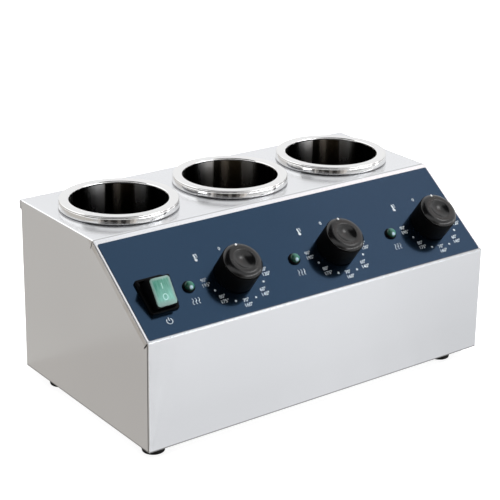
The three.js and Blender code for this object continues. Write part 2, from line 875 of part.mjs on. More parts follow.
// A screw along Z with its head below, and a nut where it has one.
function screw(headLow, grip, withNut) {
  const headTop = headLow + screwHeadHeight;
  const nut = withNut
    ? [[screwRadius, grip], [nutRadius, grip], [nutRadius, grip + nutHeight],
      [screwRadius, grip + nutHeight]]
    : [];
  const end = withNut ? grip + nutHeight + clampTail : grip;
  return turned([
    [0, headLow],
    [screwHeadRadius, headLow],
    [screwHeadRadius, headTop],
    [screwRadius, headTop],
    ...nut,
    [screwRadius, end],
    [0, end],
  ], smallSteps);
}

function footScrew() {
  return screw(footRecessDepth - seatGap - screwHeadHeight, baseTop + seatGap, true);
}

function rearScrew() {
  return upright(screw(0, screwHeadHeight + seatGap + 2 * sheet + screwTail, false));
}

function glandBody() {
  const cap = glandFlangeHeight + glandCapLength;
  const end = -sheet - seatGap - glandShankLength;
  return turned([
    [glandBore, end],
    [glandShankRadius, end],
    [glandShankRadius, 0],
    [glandFlangeRadius, 0],
    [glandFlangeRadius, glandFlangeHeight],
    [glandCapRadius, glandFlangeHeight],
    [glandCapRadius, cap - bendRadius],
    [glandCapRadius - bendRadius, cap],
    [glandBore, cap],
    [glandBore, end],
  ]);
}

function glandNut() {
  const near = -2 * seatGap - sheet;
  const shape = outline(
    arcPoints(0, 0, glandNutRadius, glandNutRadius, 0, 2 * Math.PI, hexSides).slice(0, -1),
  );
  shape.holes.push(circlePath(0, 0, glandShankRadius + seatGap));
  return slab(shape, near - glandNutHeight, near);
}

function terminalBlock() {
  const low = baseTop + seatGap;
  const high = low + blockHeight;
  const step = blockWidth / wellCount;
  const stock = box(
    -blockWidth / 2, blockWidth / 2, -blockDepth / 2, blockDepth / 2, low, high,
  );
  const slots = indices.map((i) => {
    const x = (i - (wellCount - 1) / 2) * step;
    return box(
      x - blockSlotWidth / 2, x + blockSlotWidth / 2,
      -blockDepth, blockDepth, high - blockSlotDepth, high + overrun,
    );
  });
  return cut(stock, ...slots);
}

function earthStud() {
  return screw(baseUnder - seatGap - screwHeadHeight, baseTop + seatGap, true);
}

// Assembly
const warmer = new THREE.Group();
warmer.position.y = -rearReach / 2;
const slope = new THREE.Group();
slope.position.z = foldHeight;
slope.rotation.x = slopeAngle;
warmer.add(slope);

function place(parent, name, geometry, material, x = 0, y = 0, z = 0) {
  const mesh = new THREE.Mesh(geometry, material);
  mesh.name = name;
  mesh.position.set(x, y, z);
  parent.add(mesh);
  return mesh;
}

place(warmer, 'housing_shell', housingShell(), brushedSteel);
place(warmer, 'rear_panel', rearPanel(), brushedSteel);
place(warmer, 'base_plate', basePlate(), zincSteel);
place(slope, 'control_overlay', controlOverlay(), navyFilm);

for (const i of indices) {
  const number = i + 1;
  const zone = (name) => `${name}_${number}`;
  place(warmer, zone('well'), well(), wellSteel, wellX[i], wellRow);
  place(warmer, zone('heater_band'), heaterBand(), micaBand, wellX[i], wellRow);
  place(warmer, zone('band_screw'), clampScrew(), zincSteel, wellX[i], wellRow);
  place(slope, zone('thermostat'), thermostat(), zincSteel, knobX[i], controlRow);
  place(warmer, zone('sensor_line'), sensorLine(i), copperTube);
  place(warmer, zone('heater_lead'), heaterLead(i), glassSleeve);
  place(slope, zone('bushing_nut'), bushingNut(), brass, knobX[i], controlRow);
  place(slope, zone('spindle'), spindle(), polishedSteel, knobX[i], controlRow);
  place(slope, zone('knob'), knob(), blackPlastic, knobX[i], controlRow);
  place(slope, zone('pointer'), pointer(), whiteInk, knobX[i], controlRow);
  place(slope, zone('lamp_body'), lampBody(), blackPlastic, lampX[i], controlRow);
  place(slope, zone('lamp_lens'), lampLens(), greenLens, lampX[i], controlRow);
}

place(slope, 'switch_frame', switchFrame(), blackPlastic, switchX, controlRow);
const rockerPivot = new THREE.Group();
rockerPivot.position.set(switchX, controlRow, rockerPivotRise);
rockerPivot.rotation.x = THREE.MathUtils.degToRad(rockerTilt);
slope.add(rockerPivot);
place(rockerPivot, 'rocker', rocker(), blackPlastic);
place(rockerPivot, 'rocker_lens', rockerLens(), greenLens);

footPlaces.forEach(([x, y], i) => {
  place(warmer, `foot_${i + 1}`, foot(), blackRubber, x, y);
  place(warmer, `foot_screw_${i + 1}`, footScrew(), zincSteel, x, y);
});
rearScrewPlaces.forEach(([x, z], i) => {
  const headOut = rearPanelFace + seatGap + screwHeadHeight;
  place(warmer, `rear_screw_${i + 1}`, rearScrew(), zincSteel, x, headOut, z);
});

const glandSeat = new THREE.Group();
glandSeat.position.set(glandX, rearPanelFace + seatGap, glandZ);
glandSeat.rotation.x = -Math.PI / 2;
warmer.add(glandSeat);
place(glandSeat, 'gland_body', glandBody(), blackPlastic);
place(glandSeat, 'gland_nut', glandNut(), blackPlastic);
place(warmer, 'terminal_block', terminalBlock(), creamPlastic, -earthFromBlock, blockFromFront);
place(warmer, 'earth_stud', earthStud(), brass, earthFromBlock, blockFromFront);
place(warmer, 'switch_lead', switchLead(), glassSleeve);

export default warmer;
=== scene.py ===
import math

import bmesh
import bpy
from mathutils import Matrix, Vector


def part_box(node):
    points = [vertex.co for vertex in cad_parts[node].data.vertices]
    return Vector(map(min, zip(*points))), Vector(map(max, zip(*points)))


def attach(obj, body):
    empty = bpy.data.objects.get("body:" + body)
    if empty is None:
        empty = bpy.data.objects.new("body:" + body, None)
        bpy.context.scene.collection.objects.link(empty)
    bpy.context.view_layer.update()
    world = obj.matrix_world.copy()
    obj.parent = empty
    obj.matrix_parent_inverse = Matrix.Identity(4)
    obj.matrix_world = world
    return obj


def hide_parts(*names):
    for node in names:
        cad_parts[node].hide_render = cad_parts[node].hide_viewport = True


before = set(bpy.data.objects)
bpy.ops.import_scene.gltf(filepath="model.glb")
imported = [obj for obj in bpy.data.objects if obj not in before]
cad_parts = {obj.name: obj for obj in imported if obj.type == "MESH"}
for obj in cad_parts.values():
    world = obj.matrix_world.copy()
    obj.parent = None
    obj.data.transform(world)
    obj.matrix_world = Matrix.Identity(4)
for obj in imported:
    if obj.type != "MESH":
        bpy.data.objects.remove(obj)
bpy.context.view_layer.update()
mm = 0.001
touch = 1e-6  # places nearer to each other than this are one
zones = (1, 2, 3)
cornerNumbers = (1, 2, 3, 4)  # of the feet and of the screws

# The folded sheet comes first, because the other pieces take their places from it.
body = {
    "frontHeight": 107 * mm,
    "slopeDepth": 90.5 * mm,
    "sideInset": 2.6 * mm,  # from the lip's back face to the sides' rear edge
    "sheet": 1 * mm,
    "bend": 2.0 * mm,
    "flange": 12 * mm,
    "lipDrop": 9 * mm,
    "lipEndGap": 0.2 * mm,
    "lipEndDrop": 0.3 * mm,
    "bandWidth": 7 * mm,  # the band is the slope's edge, folded down over each side
    "bandProud": 0.6 * mm,
    "bandDrop": 0.8 * mm,
    "bandStart": 1.9 * mm,
    "bandEnd": 1.9 * mm,
    "bandLean": (0.4 * mm, -2.0 * mm),  # of its low corners, at the front and at the rear
    "bandEdge": 0.4 * mm,
    "wellPitch": 130 * mm,
    "wellHole": 48.8 * mm,
    "flatPanel": 60 * mm * mm,  # faces larger than this are shaded flat
    "rounding": {  # shares of the bend
        ("side", "top"): 1.0,
        ("side", "slope"): 0.15,
        ("front", "slope"): 0.28,
        ("slope", "top"): 1.0,
        ("top", "lip"): 0.25,
        ("side", "front"): 0.3,
        ("front", "bottom"): 0.45,
        ("side", "bottom"): 0.45,
        ("side", "rear"): 0.4,
    },
}
controls = {  # places on the slope, up it from the front fold
    "row": 43 * mm,
    "knobs": (-83.8 * mm, 36.6 * mm, 157 * mm),
    "lampOffset": -50.7 * mm,
    "switch": -169 * mm,
    "bores": (5.4 * mm, 5.2 * mm),  # radii of the holes for a knob's shaft and for a lamp
    "opening": (14.1 * mm, 17.6 * mm),  # half the width and length of the hole for the switch
    "drill": 10 * mm,
}

shellLow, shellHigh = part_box("housing_shell")
frontY = shellLow.y
topZ = shellHigh.z
bottomZ = shellLow.z
foldZ = bottomZ + body["frontHeight"]
halfWidth = shellHigh.x - body["bandProud"]
sideRear = shellHigh.y - body["sideInset"]
slopeAngle = math.atan2(topZ - foldZ, body["slopeDepth"])
slopeLength = math.hypot(topZ - foldZ, body["slopeDepth"])
slopeMatrix = Matrix.Translation((0, frontY, foldZ)) @ Matrix.Rotation(slopeAngle, 4, "X")
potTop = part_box("well_1")[1].z
wellRow = (body["slopeDepth"] + shellHigh.y - frontY) / 2 + frontY
wellPlaces = [(step * body["wellPitch"], wellRow) for step in (-1, 0, 1)]


# Shader nodes: a wrapped socket with arithmetic.
class Wire:
    def __init__(self, tree, socket):
        self.tree = tree
        self.socket = socket

    def node(self, kind, settings, inputs, output=0):
        node = self.tree.nodes.new(kind)
        for key, value in settings.items():
            if key == "stops":
                setStops(node.color_ramp, value)
            else:
                setattr(node, key, value)
        for key, value in inputs.items():
            if isinstance(value, Wire):
                self.tree.links.new(value.socket, node.inputs[key])
            else:
                node.inputs[key].default_value = value
        return Wire(self.tree, node.outputs[output])

    def math(self, operation, first, second):
        return self.node("ShaderNodeMath", {"operation": operation}, {0: first, 1: second})

    def __add__(self, other):
        return self.math("ADD", self, other)

    def __radd__(self, other):
        return self.math("ADD", other, self)

    def __sub__(self, other):
        return self.math("SUBTRACT", self, other)

    def __rsub__(self, other):
        return self.math("SUBTRACT", other, self)

    def __mul__(self, other):
        return self.math("MULTIPLY", self, other)

    def __rmul__(self, other):
        return self.math("MULTIPLY", other, self)

    def __truediv__(self, other):
        return self.math("DIVIDE", self, other)

    def __rtruediv__(self, other):
        return self.math("DIVIDE", other, self)

    def __gt__(self, other):
        return self.math("GREATER_THAN", self, other)

    def __lt__(self, other):
        return self.math("LESS_THAN", self, other)

    def absolute(self):
        return self.math("ABSOLUTE", self, 0.0)

    def most(self, other):
        return self.math("MAXIMUM", self, other)

    def smooth(self, low, high):  # 0 below low, 1 above high
        settings = {"interpolation_type": "SMOOTHSTEP"}
        inputs = {"Value": self, "From Min": low, "From Max": high}
        return self.node("ShaderNodeMapRange", settings, inputs)

    def mix(self, first, second):  # colours, with this as the factor
        return self.node("ShaderNodeMix", {"data_type": "RGBA"}, {0: self, 6: first, 7: second}, 2)

    def axis(self, name):
        return self.node("ShaderNodeSeparateXYZ", {}, {0: self}, "XYZ".index(name))

    def stretched(self, scale):
        return self.node("ShaderNodeVectorMath", {"operation": "MULTIPLY"}, {0: self, 1: scale})

    def awayFrom(self, point):
        return self.node("ShaderNodeVectorMath", {"operation": "SUBTRACT"}, {0: self, 1: point})

    def noise(self, scale, detail=2.0, roughness=0.5):
        inputs = {"Vector": self, "Scale": scale, "Detail": detail, "Roughness": roughness}
        return self.node("ShaderNodeTexNoise", {}, inputs)

    def ramp(self, stops):
        return self.node("ShaderNodeValToRGB", {"stops": stops}, {0: self})


def setStops(ramp, stops):
    while len(ramp.elements) < len(stops):
        ramp.elements.new(1)
    for element, (place, color) in zip(ramp.elements, stops):
        element.position = place
        element.color = color


def rgb(red, green, blue):  # linear colour with full alpha
    return (red, green, blue, 1.0)


# Starts a material and gives its principled shader and its coordinates.
def newMaterial(name, metallic=0.0, roughness=0.4, **constants):
    material = bpy.data.materials.new(name)
    material.use_nodes = True
    tree = material.node_tree
    shader = tree.nodes["Principled BSDF"]
    shader.inputs["Metallic"].default_value = metallic
    shader.inputs["Roughness"].default_value = roughness
    for key, value in constants.items():
        shader.inputs[key.replace("_", " ")].default_value = value
    place = Wire(tree, tree.nodes.new("ShaderNodeTexCoord").outputs["Object"])
    return material, shader, place


def feed(shader, name, wire):
    wire.tree.links.new(wire.socket, shader.inputs[name])


def bump(shader, height, strength, distance):
    inputs = {"Strength": strength, "Distance": distance, "Height": height}
    feed(shader, "Normal", height.node("ShaderNodeBump", {}, inputs))


print("materials")

sheetFinish = {
    "strip": (14, 1100, 1100),  # scale of the grain along the strip
    "level": (1100, 14, 1100),  # and on the sides
    # a thin line of painted shade on the fold between the slope and the top
    "shadeLineAhead": 0.4 * mm,
    "shadeLineFade": (0.25 * mm, 0.7 * mm),
    "shadeLineDepth": 1.5 * mm,
    "shadeLineTone": (0.3, 0.3, 0.3),
    # painted highlight: lighter strips on the slope along its sides and below the top fold
    "highlightSide": 3.4 * mm,
    "highlightTop": 4.5 * mm,
    "highlightEnd": 0.5 * mm,
    "highlightTone": (0.86, 0.87, 0.9),
    # painted shade on the slope's front fold, darker towards the right
    "frontFold": 1.5 * mm,
    "shadedFrontTones": ((0.6, 0.62, 0.65), (0.46, 0.48, 0.5)),  # at the left and at the right
    # painted shadow: a dark line along the sheet's lower edge
    "shadowEdgeFade": (1.1 * mm, 1.7 * mm),
    "shadowEdgeShade": (0.13, 0.125, 0.12),
    "bandFadeShares": (0.7, 1.1),
    "bandShade": (0.5, 0.46, 0.41),
}


# Brushed sheet: the grain runs along the strip on the front, slope and top, and level on the sides.
def brushedSteel(name, dark, light, roughness, folded=False):
    material, shader, place = newMaterial(name, 1.0, roughness)
    normal = place.node("ShaderNodeNewGeometry", {}, {}, "Normal")
    onSide = normal.axis("X").absolute() > 0.6
    along = place.stretched(sheetFinish["strip"])
    across = place.stretched(sheetFinish["level"])
    grain = onSide.mix(along, across).noise(1.0, 3.0, 0.65)
    clouds = place.noise(5.0, 2.0)
    shade = grain * 0.15 + clouds * 0.85
    color = shade.ramp([(0.3, rgb(*dark)), (0.7, rgb(*light))])
    if folded:
        color = paintedFoldLight(place, normal.axis("Z"), heatTint(place, onSide, color))
    feed(shader, "Base Color", color)
    feed(shader, "Roughness", grain * 0.06 + (roughness - 0.03))
    bump(shader, grain, 0.015, 0.00001)
    return material


# Painted light on the sheet: a fine line of painted shade on the fold above the film, a painted
# highlight round the film, painted shade on the front fold, and a painted shadow at the lower edge.
def paintedFoldLight(place, height, color):
    # painted shade: a thin dark line along the fold above the film
    along = place.axis("Y") - (frontY + body["slopeDepth"] + sheetFinish["shadeLineAhead"])
    line = 1 - along.absolute().smooth(*sheetFinish["shadeLineFade"])
    line = line * (place.axis("Z") > topZ - sheetFinish["shadeLineDepth"])
    # painted highlight: lighter strips on the slope beside its side edges and below the top fold
    paintedHighlight = place.axis("X").absolute() > halfWidth - sheetFinish["highlightSide"]
    paintedHighlight = paintedHighlight.most(place.axis("Z") > topZ - sheetFinish["highlightTop"])
    paintedHighlight = paintedHighlight * (place.axis("Z") < topZ - sheetFinish["highlightEnd"]) * (height > 0.5)
    color = (paintedHighlight * 0.9).mix(color, rgb(*sheetFinish["highlightTone"]))
    # painted shade: the front fold is darker, more so towards the right
    front = (place.axis("Z") < foldZ + sheetFinish["frontFold"]) * (height > 0.1)
    left, right = sheetFinish["shadedFrontTones"]
    paintedFrontShade = place.axis("X").smooth(-halfWidth, halfWidth).mix(rgb(*left), rgb(*right))
    color = front.mix(color, paintedFrontShade)
    # painted shadow: a dark line along the lower edge
    low, high = sheetFinish["shadowEdgeFade"]
    edge = 1 - place.axis("Z").smooth(bottomZ + low, bottomZ + high)
    color = (edge * 0.8).mix(color, rgb(*sheetFinish["shadowEdgeShade"]))
    return (line * 0.6).mix(color, rgb(*sheetFinish["shadeLineTone"]))


# The folded flange beside the slope is a little browner than the sheet round it.
def heatTint(place, onSide, color):
    rise = place.axis("Z") - foldZ
    run = place.axis("Y") - frontY
    below = run * math.sin(slopeAngle) - rise * math.cos(slopeAngle)
    near, far = [body["bandWidth"] * share for share in sheetFinish["bandFadeShares"]]
    band = 1 - below.smooth(near, far)
    patchy = place.noise(60.0, 2.0).smooth(0.35, 0.75)
    return (band * onSide * (patchy * 0.3 + 0.25)).mix(color, rgb(*sheetFinish["bandShade"]))


housingSteel = brushedSteel("housingSteel", (0.765, 0.775, 0.8), (0.8, 0.81, 0.835), 0.22, True)
plateSteel = brushedSteel("plateSteel", (0.62, 0.62, 0.63), (0.72, 0.72, 0.73), 0.38)

# Depths are below the rim's top, and reaches are from the pot's middle.
potFinish = {
    "heading": math.radians(36.7),  # the way the camera looks
    "rimFade": (1.7 * mm, 3.1 * mm),
    "bore": 48.2 * mm,
    "collar": 55 * mm,
    # painted shade: the collar darkens towards its foot
    "footShadeFade": (5.6 * mm, 7.4 * mm),
    # painted shade: a grey line in the crease below the rim's top
    "shadedCreaseFades": ((1 * mm, 1.3 * mm), (1.7 * mm, 2.1 * mm)),
    "rimShade": (0.81, 0.81, 0.81),
    "paintedCreaseShade": (0.4, 0.38, 0.35),
    "paintedFootShade": (0.3, 0.3, 0.3),
    # painted shade inside the pot, darker towards its bottom
    "depthFade": (-4 * mm, 65 * mm),
    "paintedDepthShade": (0.02, 0.018, 0.015),
    "mirroredBrownFade": (22 * mm, 34 * mm),
    "mirroredBrown": (0.6, 0.5, 0.36),
    "mirroredBrowning": (0.0, 0.12, 0.07),  # of each pot
    "bands": (  # painted reflection: grey and brownish stripes, in shares of a turn from the wall nearest the camera
        (0.0, (0.4, 0.4, 0.4)),
        (0.27, (0.3, 0.3, 0.3)),
        (0.3, (0.01, 0.01, 0.01)),
        (0.36, (0.02, 0.02, 0.02)),
        (0.385, (0.28, 0.28, 0.28)),
        (0.415, (0.5, 0.5, 0.51)),
        (0.436, (0.55, 0.54, 0.54)),
        (0.444, (0.03, 0.03, 0.03)),
        (0.46, (0.04, 0.03, 0.025)),
        (0.47, (0.32, 0.28, 0.24)),
        (0.484, (0.42, 0.37, 0.31)),
        (0.499, (0.1, 0.075, 0.05)),
        (0.53, (0.08, 0.055, 0.03)),
        (0.543, (0.34, 0.33, 0.32)),
        (0.572, (0.34, 0.34, 0.34)),
        (0.6, (0.02, 0.02, 0.02)),
        (0.71, (0.01, 0.01, 0.01)),
        (0.74, (0.3, 0.3, 0.3)),
    ),
}


# The rim is polished, with painted shade; inside the pot, upright stripes of painted reflection.
def potSteel(name, centreX, mirroredBrowning):
    material, shader, place = newMaterial(name, 1.0, 0.1)
    offset = place.awayFrom((centreX, wellRow, 0))
    sine = math.sin(potFinish["heading"])
    cosine = math.cos(potFinish["heading"])
    across = offset.axis("X") * cosine - offset.axis("Y") * sine
    ahead = offset.axis("X") * sine + offset.axis("Y") * cosine
    square = across * across + ahead * ahead
    radius = square.math("POWER", square, 0.5)
    below = potTop - place.axis("Z")
    inside = below.smooth(*potFinish["rimFade"]) * (radius < potFinish["bore"])
    # painted shade: the collar darkens towards its foot on the top sheet
    outside = radius > potFinish["collar"]
    low = below.smooth(*potFinish["footShadeFade"]) * outside
    # painted shade: a grey line in the crease below the rim's top
    start, end = potFinish["shadedCreaseFades"]
    crease = below.smooth(*start) * (1 - below.smooth(*end)) * outside
    fine = offset.stretched((400, 400, 6)).noise(1.0, 2.0, 0.6)
    # painted reflection: the stripes are set round the pot by the camera's heading
    turn = across.math("ARCTAN2", across, ahead) / (2 * math.pi) + 0.5 + (fine - 0.5) * 0.012
    bands = turn.ramp([(share, rgb(*color)) for share, color in potFinish["bands"]])
    # painted shade: darker towards the bottom of the pot
    bands = below.smooth(*potFinish["depthFade"]).mix(bands, rgb(*potFinish["paintedDepthShade"]))
    # painted reflection: brownish towards the middle of the pot, as the camera sees it
    middle = 1 - across.absolute().smooth(*potFinish["mirroredBrownFade"])
    bands = (middle * mirroredBrowning).mix(bands, rgb(*potFinish["mirroredBrown"]))
    rim = (crease * 0.4).mix(rgb(*potFinish["rimShade"]), rgb(*potFinish["paintedCreaseShade"]))
    rim = (low * 0.6).mix(rim, rgb(*potFinish["paintedFootShade"]))
    feed(shader, "Base Color", inside.mix(rim, bands))
    feed(shader, "Roughness", inside * (bands * 0.55 + 0.06) + (fine * 0.04 + 0.06))
    bump(shader, fine, 0.03, 0.00005)
    return material


filmFinish = {
    "metallic": 0.9,
    "roughness": 0.13,
    "coat": 0.15,
    "grainScale": 900.0,
    "cloudScale": 6.0,
    "shades": ((0.024, 0.054, 0.101), (0.027, 0.058, 0.107)),
}


# The film mirrors like tinted metal under a thin coat.
def navyPrint():
    material, shader, place = newMaterial(
        "navyFilm",
        filmFinish["metallic"],
        filmFinish["roughness"],
        Specular_IOR_Level=0.2,
        Coat_Weight=filmFinish["coat"],
        Coat_Roughness=0.1,
    )
    grain = place.noise(filmFinish["grainScale"], 2.0)
    tone = place.noise(filmFinish["cloudScale"], 1.0)
    dark, light = filmFinish["shades"]
    feed(shader, "Base Color", tone.ramp([(0.3, rgb(*dark)), (0.7, rgb(*light))]))
    feed(shader, "Roughness", grain * 0.04 + filmFinish["roughness"])
    bump(shader, grain, 0.02, 0.00001)
    return material


def mouldedPlastic(name, color, roughness, scale=1400.0, strength=0.1, **constants):
    material, shader, place = newMaterial(name, 0.0, roughness, **constants)
    grain = place.noise(scale, 3.0, 0.6)
    cloudy = place.noise(70.0, 2.0)
    lighter = tuple(min(1.0, part * 1.35 + 0.001) for part in color)
    feed(shader, "Base Color", cloudy.ramp([(0.3, rgb(*color)), (0.7, rgb(*lighter))]))
    feed(shader, "Roughness", grain * 0.16 + (roughness - 0.08))
    bump(shader, grain, strength, 0.00005)
    return material


def metalFinish(name, color, roughness, scale=700.0):
    material, shader, place = newMaterial(name, 1.0, roughness)
    grain = place.noise(scale, 3.0, 0.6)
    darker = tuple(part * 0.78 for part in color)
    feed(shader, "Base Color", grain.ramp([(0.3, rgb(*darker)), (0.65, rgb(*color))]))
    feed(shader, "Roughness", grain * 0.2 + (roughness - 0.1))
    bump(shader, grain, 0.1, 0.00005)
    return material


greenFinish = {
    "rimFade": (3.4 * mm, 0.6 * mm),  # inwards from the rocker lens's edge
    "footHighlightFade": (1.5 * mm, 6.5 * mm),
    "litLowerFade": 9 * mm,
    "rockerShades": ((0.03, 0.25, 0.17), (0.34, 0.74, 0.64)),
    # the tone of the painted highlight at the lens's edge
    "rimShade": (0.34, 0.48, 0.45),
    "litSideFade": (-3.5 * mm, 3 * mm),
    "lampShades": ((0.005, 0.06, 0.035), (0.05, 0.24, 0.17)),
    "highlightSpotFade": (1 * mm, 2.4 * mm),
    "highlightSpotShade": (0.62, 0.84, 1.0),
}


# Milky green moulding with fine upright streaks; painted highlight at its edge and foot, and
# painted light on its lower part.
def rockerGreen(pivot, tilt, half):
    material, shader, place = newMaterial("rockerGreen", 0.0, 0.22, Specular_IOR_Level=0.3)
    turned = place.node(
        "ShaderNodeMapping",
        {"vector_type": "TEXTURE"},
        {"Vector": place, "Location": pivot, "Rotation": (tilt, 0, 0)},
    )
    streaks = turned.stretched((900, 120, 900)).noise(1.0, 3.0, 0.6)
    # painted highlight: paler towards the lens's edges and its foot
    start, end = greenFinish["rimFade"]
    rim = turned.axis("X").absolute().smooth(half[0] - start, half[0] - end)
    rim = rim.most(turned.axis("Y").absolute().smooth(half[1] - start, half[1] - end))
    start, end = greenFinish["footHighlightFade"]
    rim = rim.most(1 - turned.axis("Y").smooth(start - half[1], end - half[1]))
    # painted light: the lens is paler on its lower part
    lower = 1 - turned.axis("Y").smooth(-greenFinish["litLowerFade"], greenFinish["litLowerFade"])
    dark, light = greenFinish["rockerShades"]
    green = (streaks * 0.6 + lower * 0.4).ramp([(0.25, rgb(*dark)), (0.78, rgb(*light))])
    feed(shader, "Base Color", (rim * 0.8).mix(green, rgb(*greenFinish["rimShade"])))
    feed(shader, "Roughness", streaks * 0.15 + 0.16)
    bump(shader, streaks, 0.12, 0.0001)
    return material


# A dark green dome, painted lighter to its right, with a painted highlight right of the middle.
def lampGreen(name, centre):
    material, shader, place = newMaterial(name, 0.0, 0.12)
    offset = place.awayFrom(tuple(centre))
    streaks = offset.stretched((900, 300, 300)).noise(1.0, 2.0)
    reach = offset.node("ShaderNodeVectorMath", {"operation": "LENGTH"}, {0: offset}, "Value")
    # painted light: the dome is lighter towards its right
    right = offset.axis("X").smooth(*greenFinish["litSideFade"])
    dark, light = greenFinish["lampShades"]
    green = (streaks * 0.4 + right * 0.6).ramp([(0.2, rgb(*dark)), (0.75, rgb(*light))])
    # painted highlight: a pale spot to the right of the dome's middle
    highlightSpot = 1 - reach.smooth(*greenFinish["highlightSpotFade"])
    feed(shader, "Base Color", (highlightSpot * 0.9).mix(green, rgb(*greenFinish["highlightSpotShade"])))
    feed(shader, "Roughness", streaks * 0.1 + 0.08)
    bump(shader, streaks, 0.1, 0.0001)
    return material


navyFilm = navyPrint()
inkWhite = mouldedPlastic("inkWhite", (0.66, 0.72, 0.78), 0.45)
inkMint = mouldedPlastic("inkMint", (0.5, 0.86, 0.76), 0.45)
dotWhite = mouldedPlastic("dotWhite", (0.82, 0.82, 0.82), 0.4)
knobBlack = mouldedPlastic("knobBlack", (0.003, 0.003, 0.0035), 0.22, 1400.0, 0.04)
# painted highlight: a grey copy of the knob plastic for the thin bright line at the cap's foot
rimHighlightBlack = mouldedPlastic("rimHighlightBlack", (0.16, 0.16, 0.155), 0.3)
# painted shade: a darker, duller copy of the knob plastic for its side and groove
shadedSideBlack = mouldedPlastic(
    "shadedSideBlack", (0.0008, 0.0008, 0.001), 0.5, 900.0, 0.15, Specular_IOR_Level=0.06
)
switchBlack = mouldedPlastic(
    "switchBlack", (0.0015, 0.0015, 0.002), 0.35, 1000.0, 0.08, Specular_IOR_Level=0.06
)
rubberBlack = mouldedPlastic(
    "rubberBlack", (0.008, 0.008, 0.008), 0.75, 600.0, 0.3, Specular_IOR_Level=0.3
)
glandBlack = mouldedPlastic("glandBlack", (0.012, 0.012, 0.013), 0.45)
creamPlastic = mouldedPlastic("creamPlastic", (0.62, 0.58, 0.48), 0.5)
sleeveWhite = mouldedPlastic("sleeveWhite", (0.55, 0.5, 0.4), 0.85, 2600.0, 0.6)
zincSteel = metalFinish("zincSteel", (0.62, 0.63, 0.65), 0.36)
bandSteel = metalFinish("bandSteel", (0.4, 0.36, 0.3), 0.45)
brassMetal = metalFinish("brassMetal", (0.62, 0.45, 0.19), 0.3)
copperMetal = metalFinish("copperMetal", (0.6, 0.3, 0.18), 0.3)


# Mesh helpers
def blockMesh(low, high):
    bm = bmesh.new()
    bmesh.ops.create_cube(bm, size=1)
    low = Vector(low)
    high = Vector(high)
    bmesh.ops.scale(bm, vec=high - low, verts=bm.verts)
    bmesh.ops.translate(bm, vec=(low + high) / 2, verts=bm.verts)
    return bm


def discMesh(radius, depth, segments=32):
    bm = bmesh.new()
    bmesh.ops.create_cone(
        bm, cap_ends=True, segments=segments, radius1=radius, radius2=radius, depth=depth
    )
    return bm


def bevelEdges(bm, geom, radius, segments=3, affect="EDGES"):
    bmesh.ops.bevel(
        bm,
        geom=geom,
        offset=radius,
        offset_type="OFFSET",
        segments=segments,
        profile=0.5,
        affect=affect,
        clamp_overlap=affect == "EDGES",
        material=-1,
    )


# Sweeps a profile about Z and welds what meets.
def spun(bm, geom, angle, steps, merge=False):
    bmesh.ops.spin(
        bm,
        geom=geom,
        cent=(0, 0, 0),
        axis=(0, 0, 1),
        dvec=(0, 0, 0),
        angle=angle,
        steps=steps,
        use_merge=merge,
        use_normal_flip=False,
        use_duplicate=False,
    )
    bmesh.ops.remove_doubles(bm, verts=bm.verts, dist=touch)
    bmesh.ops.recalc_face_normals(bm, faces=bm.faces)
    return bm


# Turns a profile of (radius, height, rounding) about Z into a closed solid.
def turnedMesh(profile, steps=96, segments=4, closed=False):
    bm = bmesh.new()
    verts = [bm.verts.new((radius, 0, height)) for radius, height, rounding in profile]
    for pair in zip(verts, verts[1:]):
        bm.edges.new(pair)
    if closed:
        bm.edges.new((verts[-1], verts[0]))
    for vert, (radius, height, rounding) in zip(verts, profile):
        if rounding:
            bevelEdges(bm, [vert], rounding, segments, "VERTICES")
    return spun(bm, bm.verts[:] + bm.edges[:], 2 * math.pi, steps, merge=True)


# A flat plate from a rounded rectangle, with its corners turned by bevels.
def plateMesh(width, length, low, high, corner, edge=0.0, segments=5):
    bm = blockMesh((-width / 2, -length / 2, low), (width / 2, length / 2, high))
    upright = [e for e in bm.edges if abs(e.verts[0].co.z - e.verts[1].co.z) > touch]
    bevelEdges(bm, upright, corner, segments)
    if edge:
        rim = [e for e in bm.edges if all(v.co.z > high - touch for v in e.verts)]
        bevelEdges(bm, rim, edge)
    return bm


def moved(bm, matrix):
    bmesh.ops.transform(bm, matrix=matrix, verts=bm.verts)
    return bm


def onSlope(x, along=controls["row"], height=0.0):
    return slopeMatrix @ Matrix.Translation((x, along, height))


# Makes the object, shades it and sets it on its body.
def addPiece(name, bm, material, bodyName, nodes=(), sharp=35.0):
    piece = bareObject(name, bm)
    materials = material if isinstance(material, (list, tuple)) else [material]
    for entry in materials:
        piece.data.materials.append(entry)
    piece.data.shade_smooth()
    piece.data.set_sharp_from_angle(angle=math.radians(sharp))
    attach(piece, bodyName)
    if nodes:
        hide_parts(*nodes)
    return piece


# Large flat panels keep their own normal, so that only the folds between them are shaded round.
def keepFlat(piece, least):
    bm = bmesh.new()
    bm.from_mesh(piece.data)
    for panel in bm.faces:
        if panel.calc_area() > least:
            for edge in panel.edges:
                edge.smooth = False
    bm.to_mesh(piece.data)
    bm.free()


# Rounds a mesh by its edge weights where a width is given, and cuts it by others.
def cutMesh(bm, cutters, rounding=0.0):
    stock = bareObject("stock", bm)
    if rounding:
        modifier = stock.modifiers.new("round", "BEVEL")
        modifier.limit_method = "WEIGHT"
        modifier.width = rounding
        modifier.segments = 5
        modifier.profile = 0.5
        modifier.use_clamp_overlap = False
    for index, cutter in enumerate(cutters):
        tool = bareObject(f"tool{index}", cutter)
        modifier = stock.modifiers.new("cut", "BOOLEAN")
        modifier.operation = "DIFFERENCE"
        modifier.solver = "EXACT"
        modifier.object = tool
    bpy.context.view_layer.update()
    graph = bpy.context.evaluated_depsgraph_get()
    result = bmesh.new()
    result.from_object(stock, graph)
    for modifier in stock.modifiers[:]:
        if modifier.type == "BOOLEAN":
            bpy.data.objects.remove(modifier.object)
    bpy.data.objects.remove(stock)
    return result


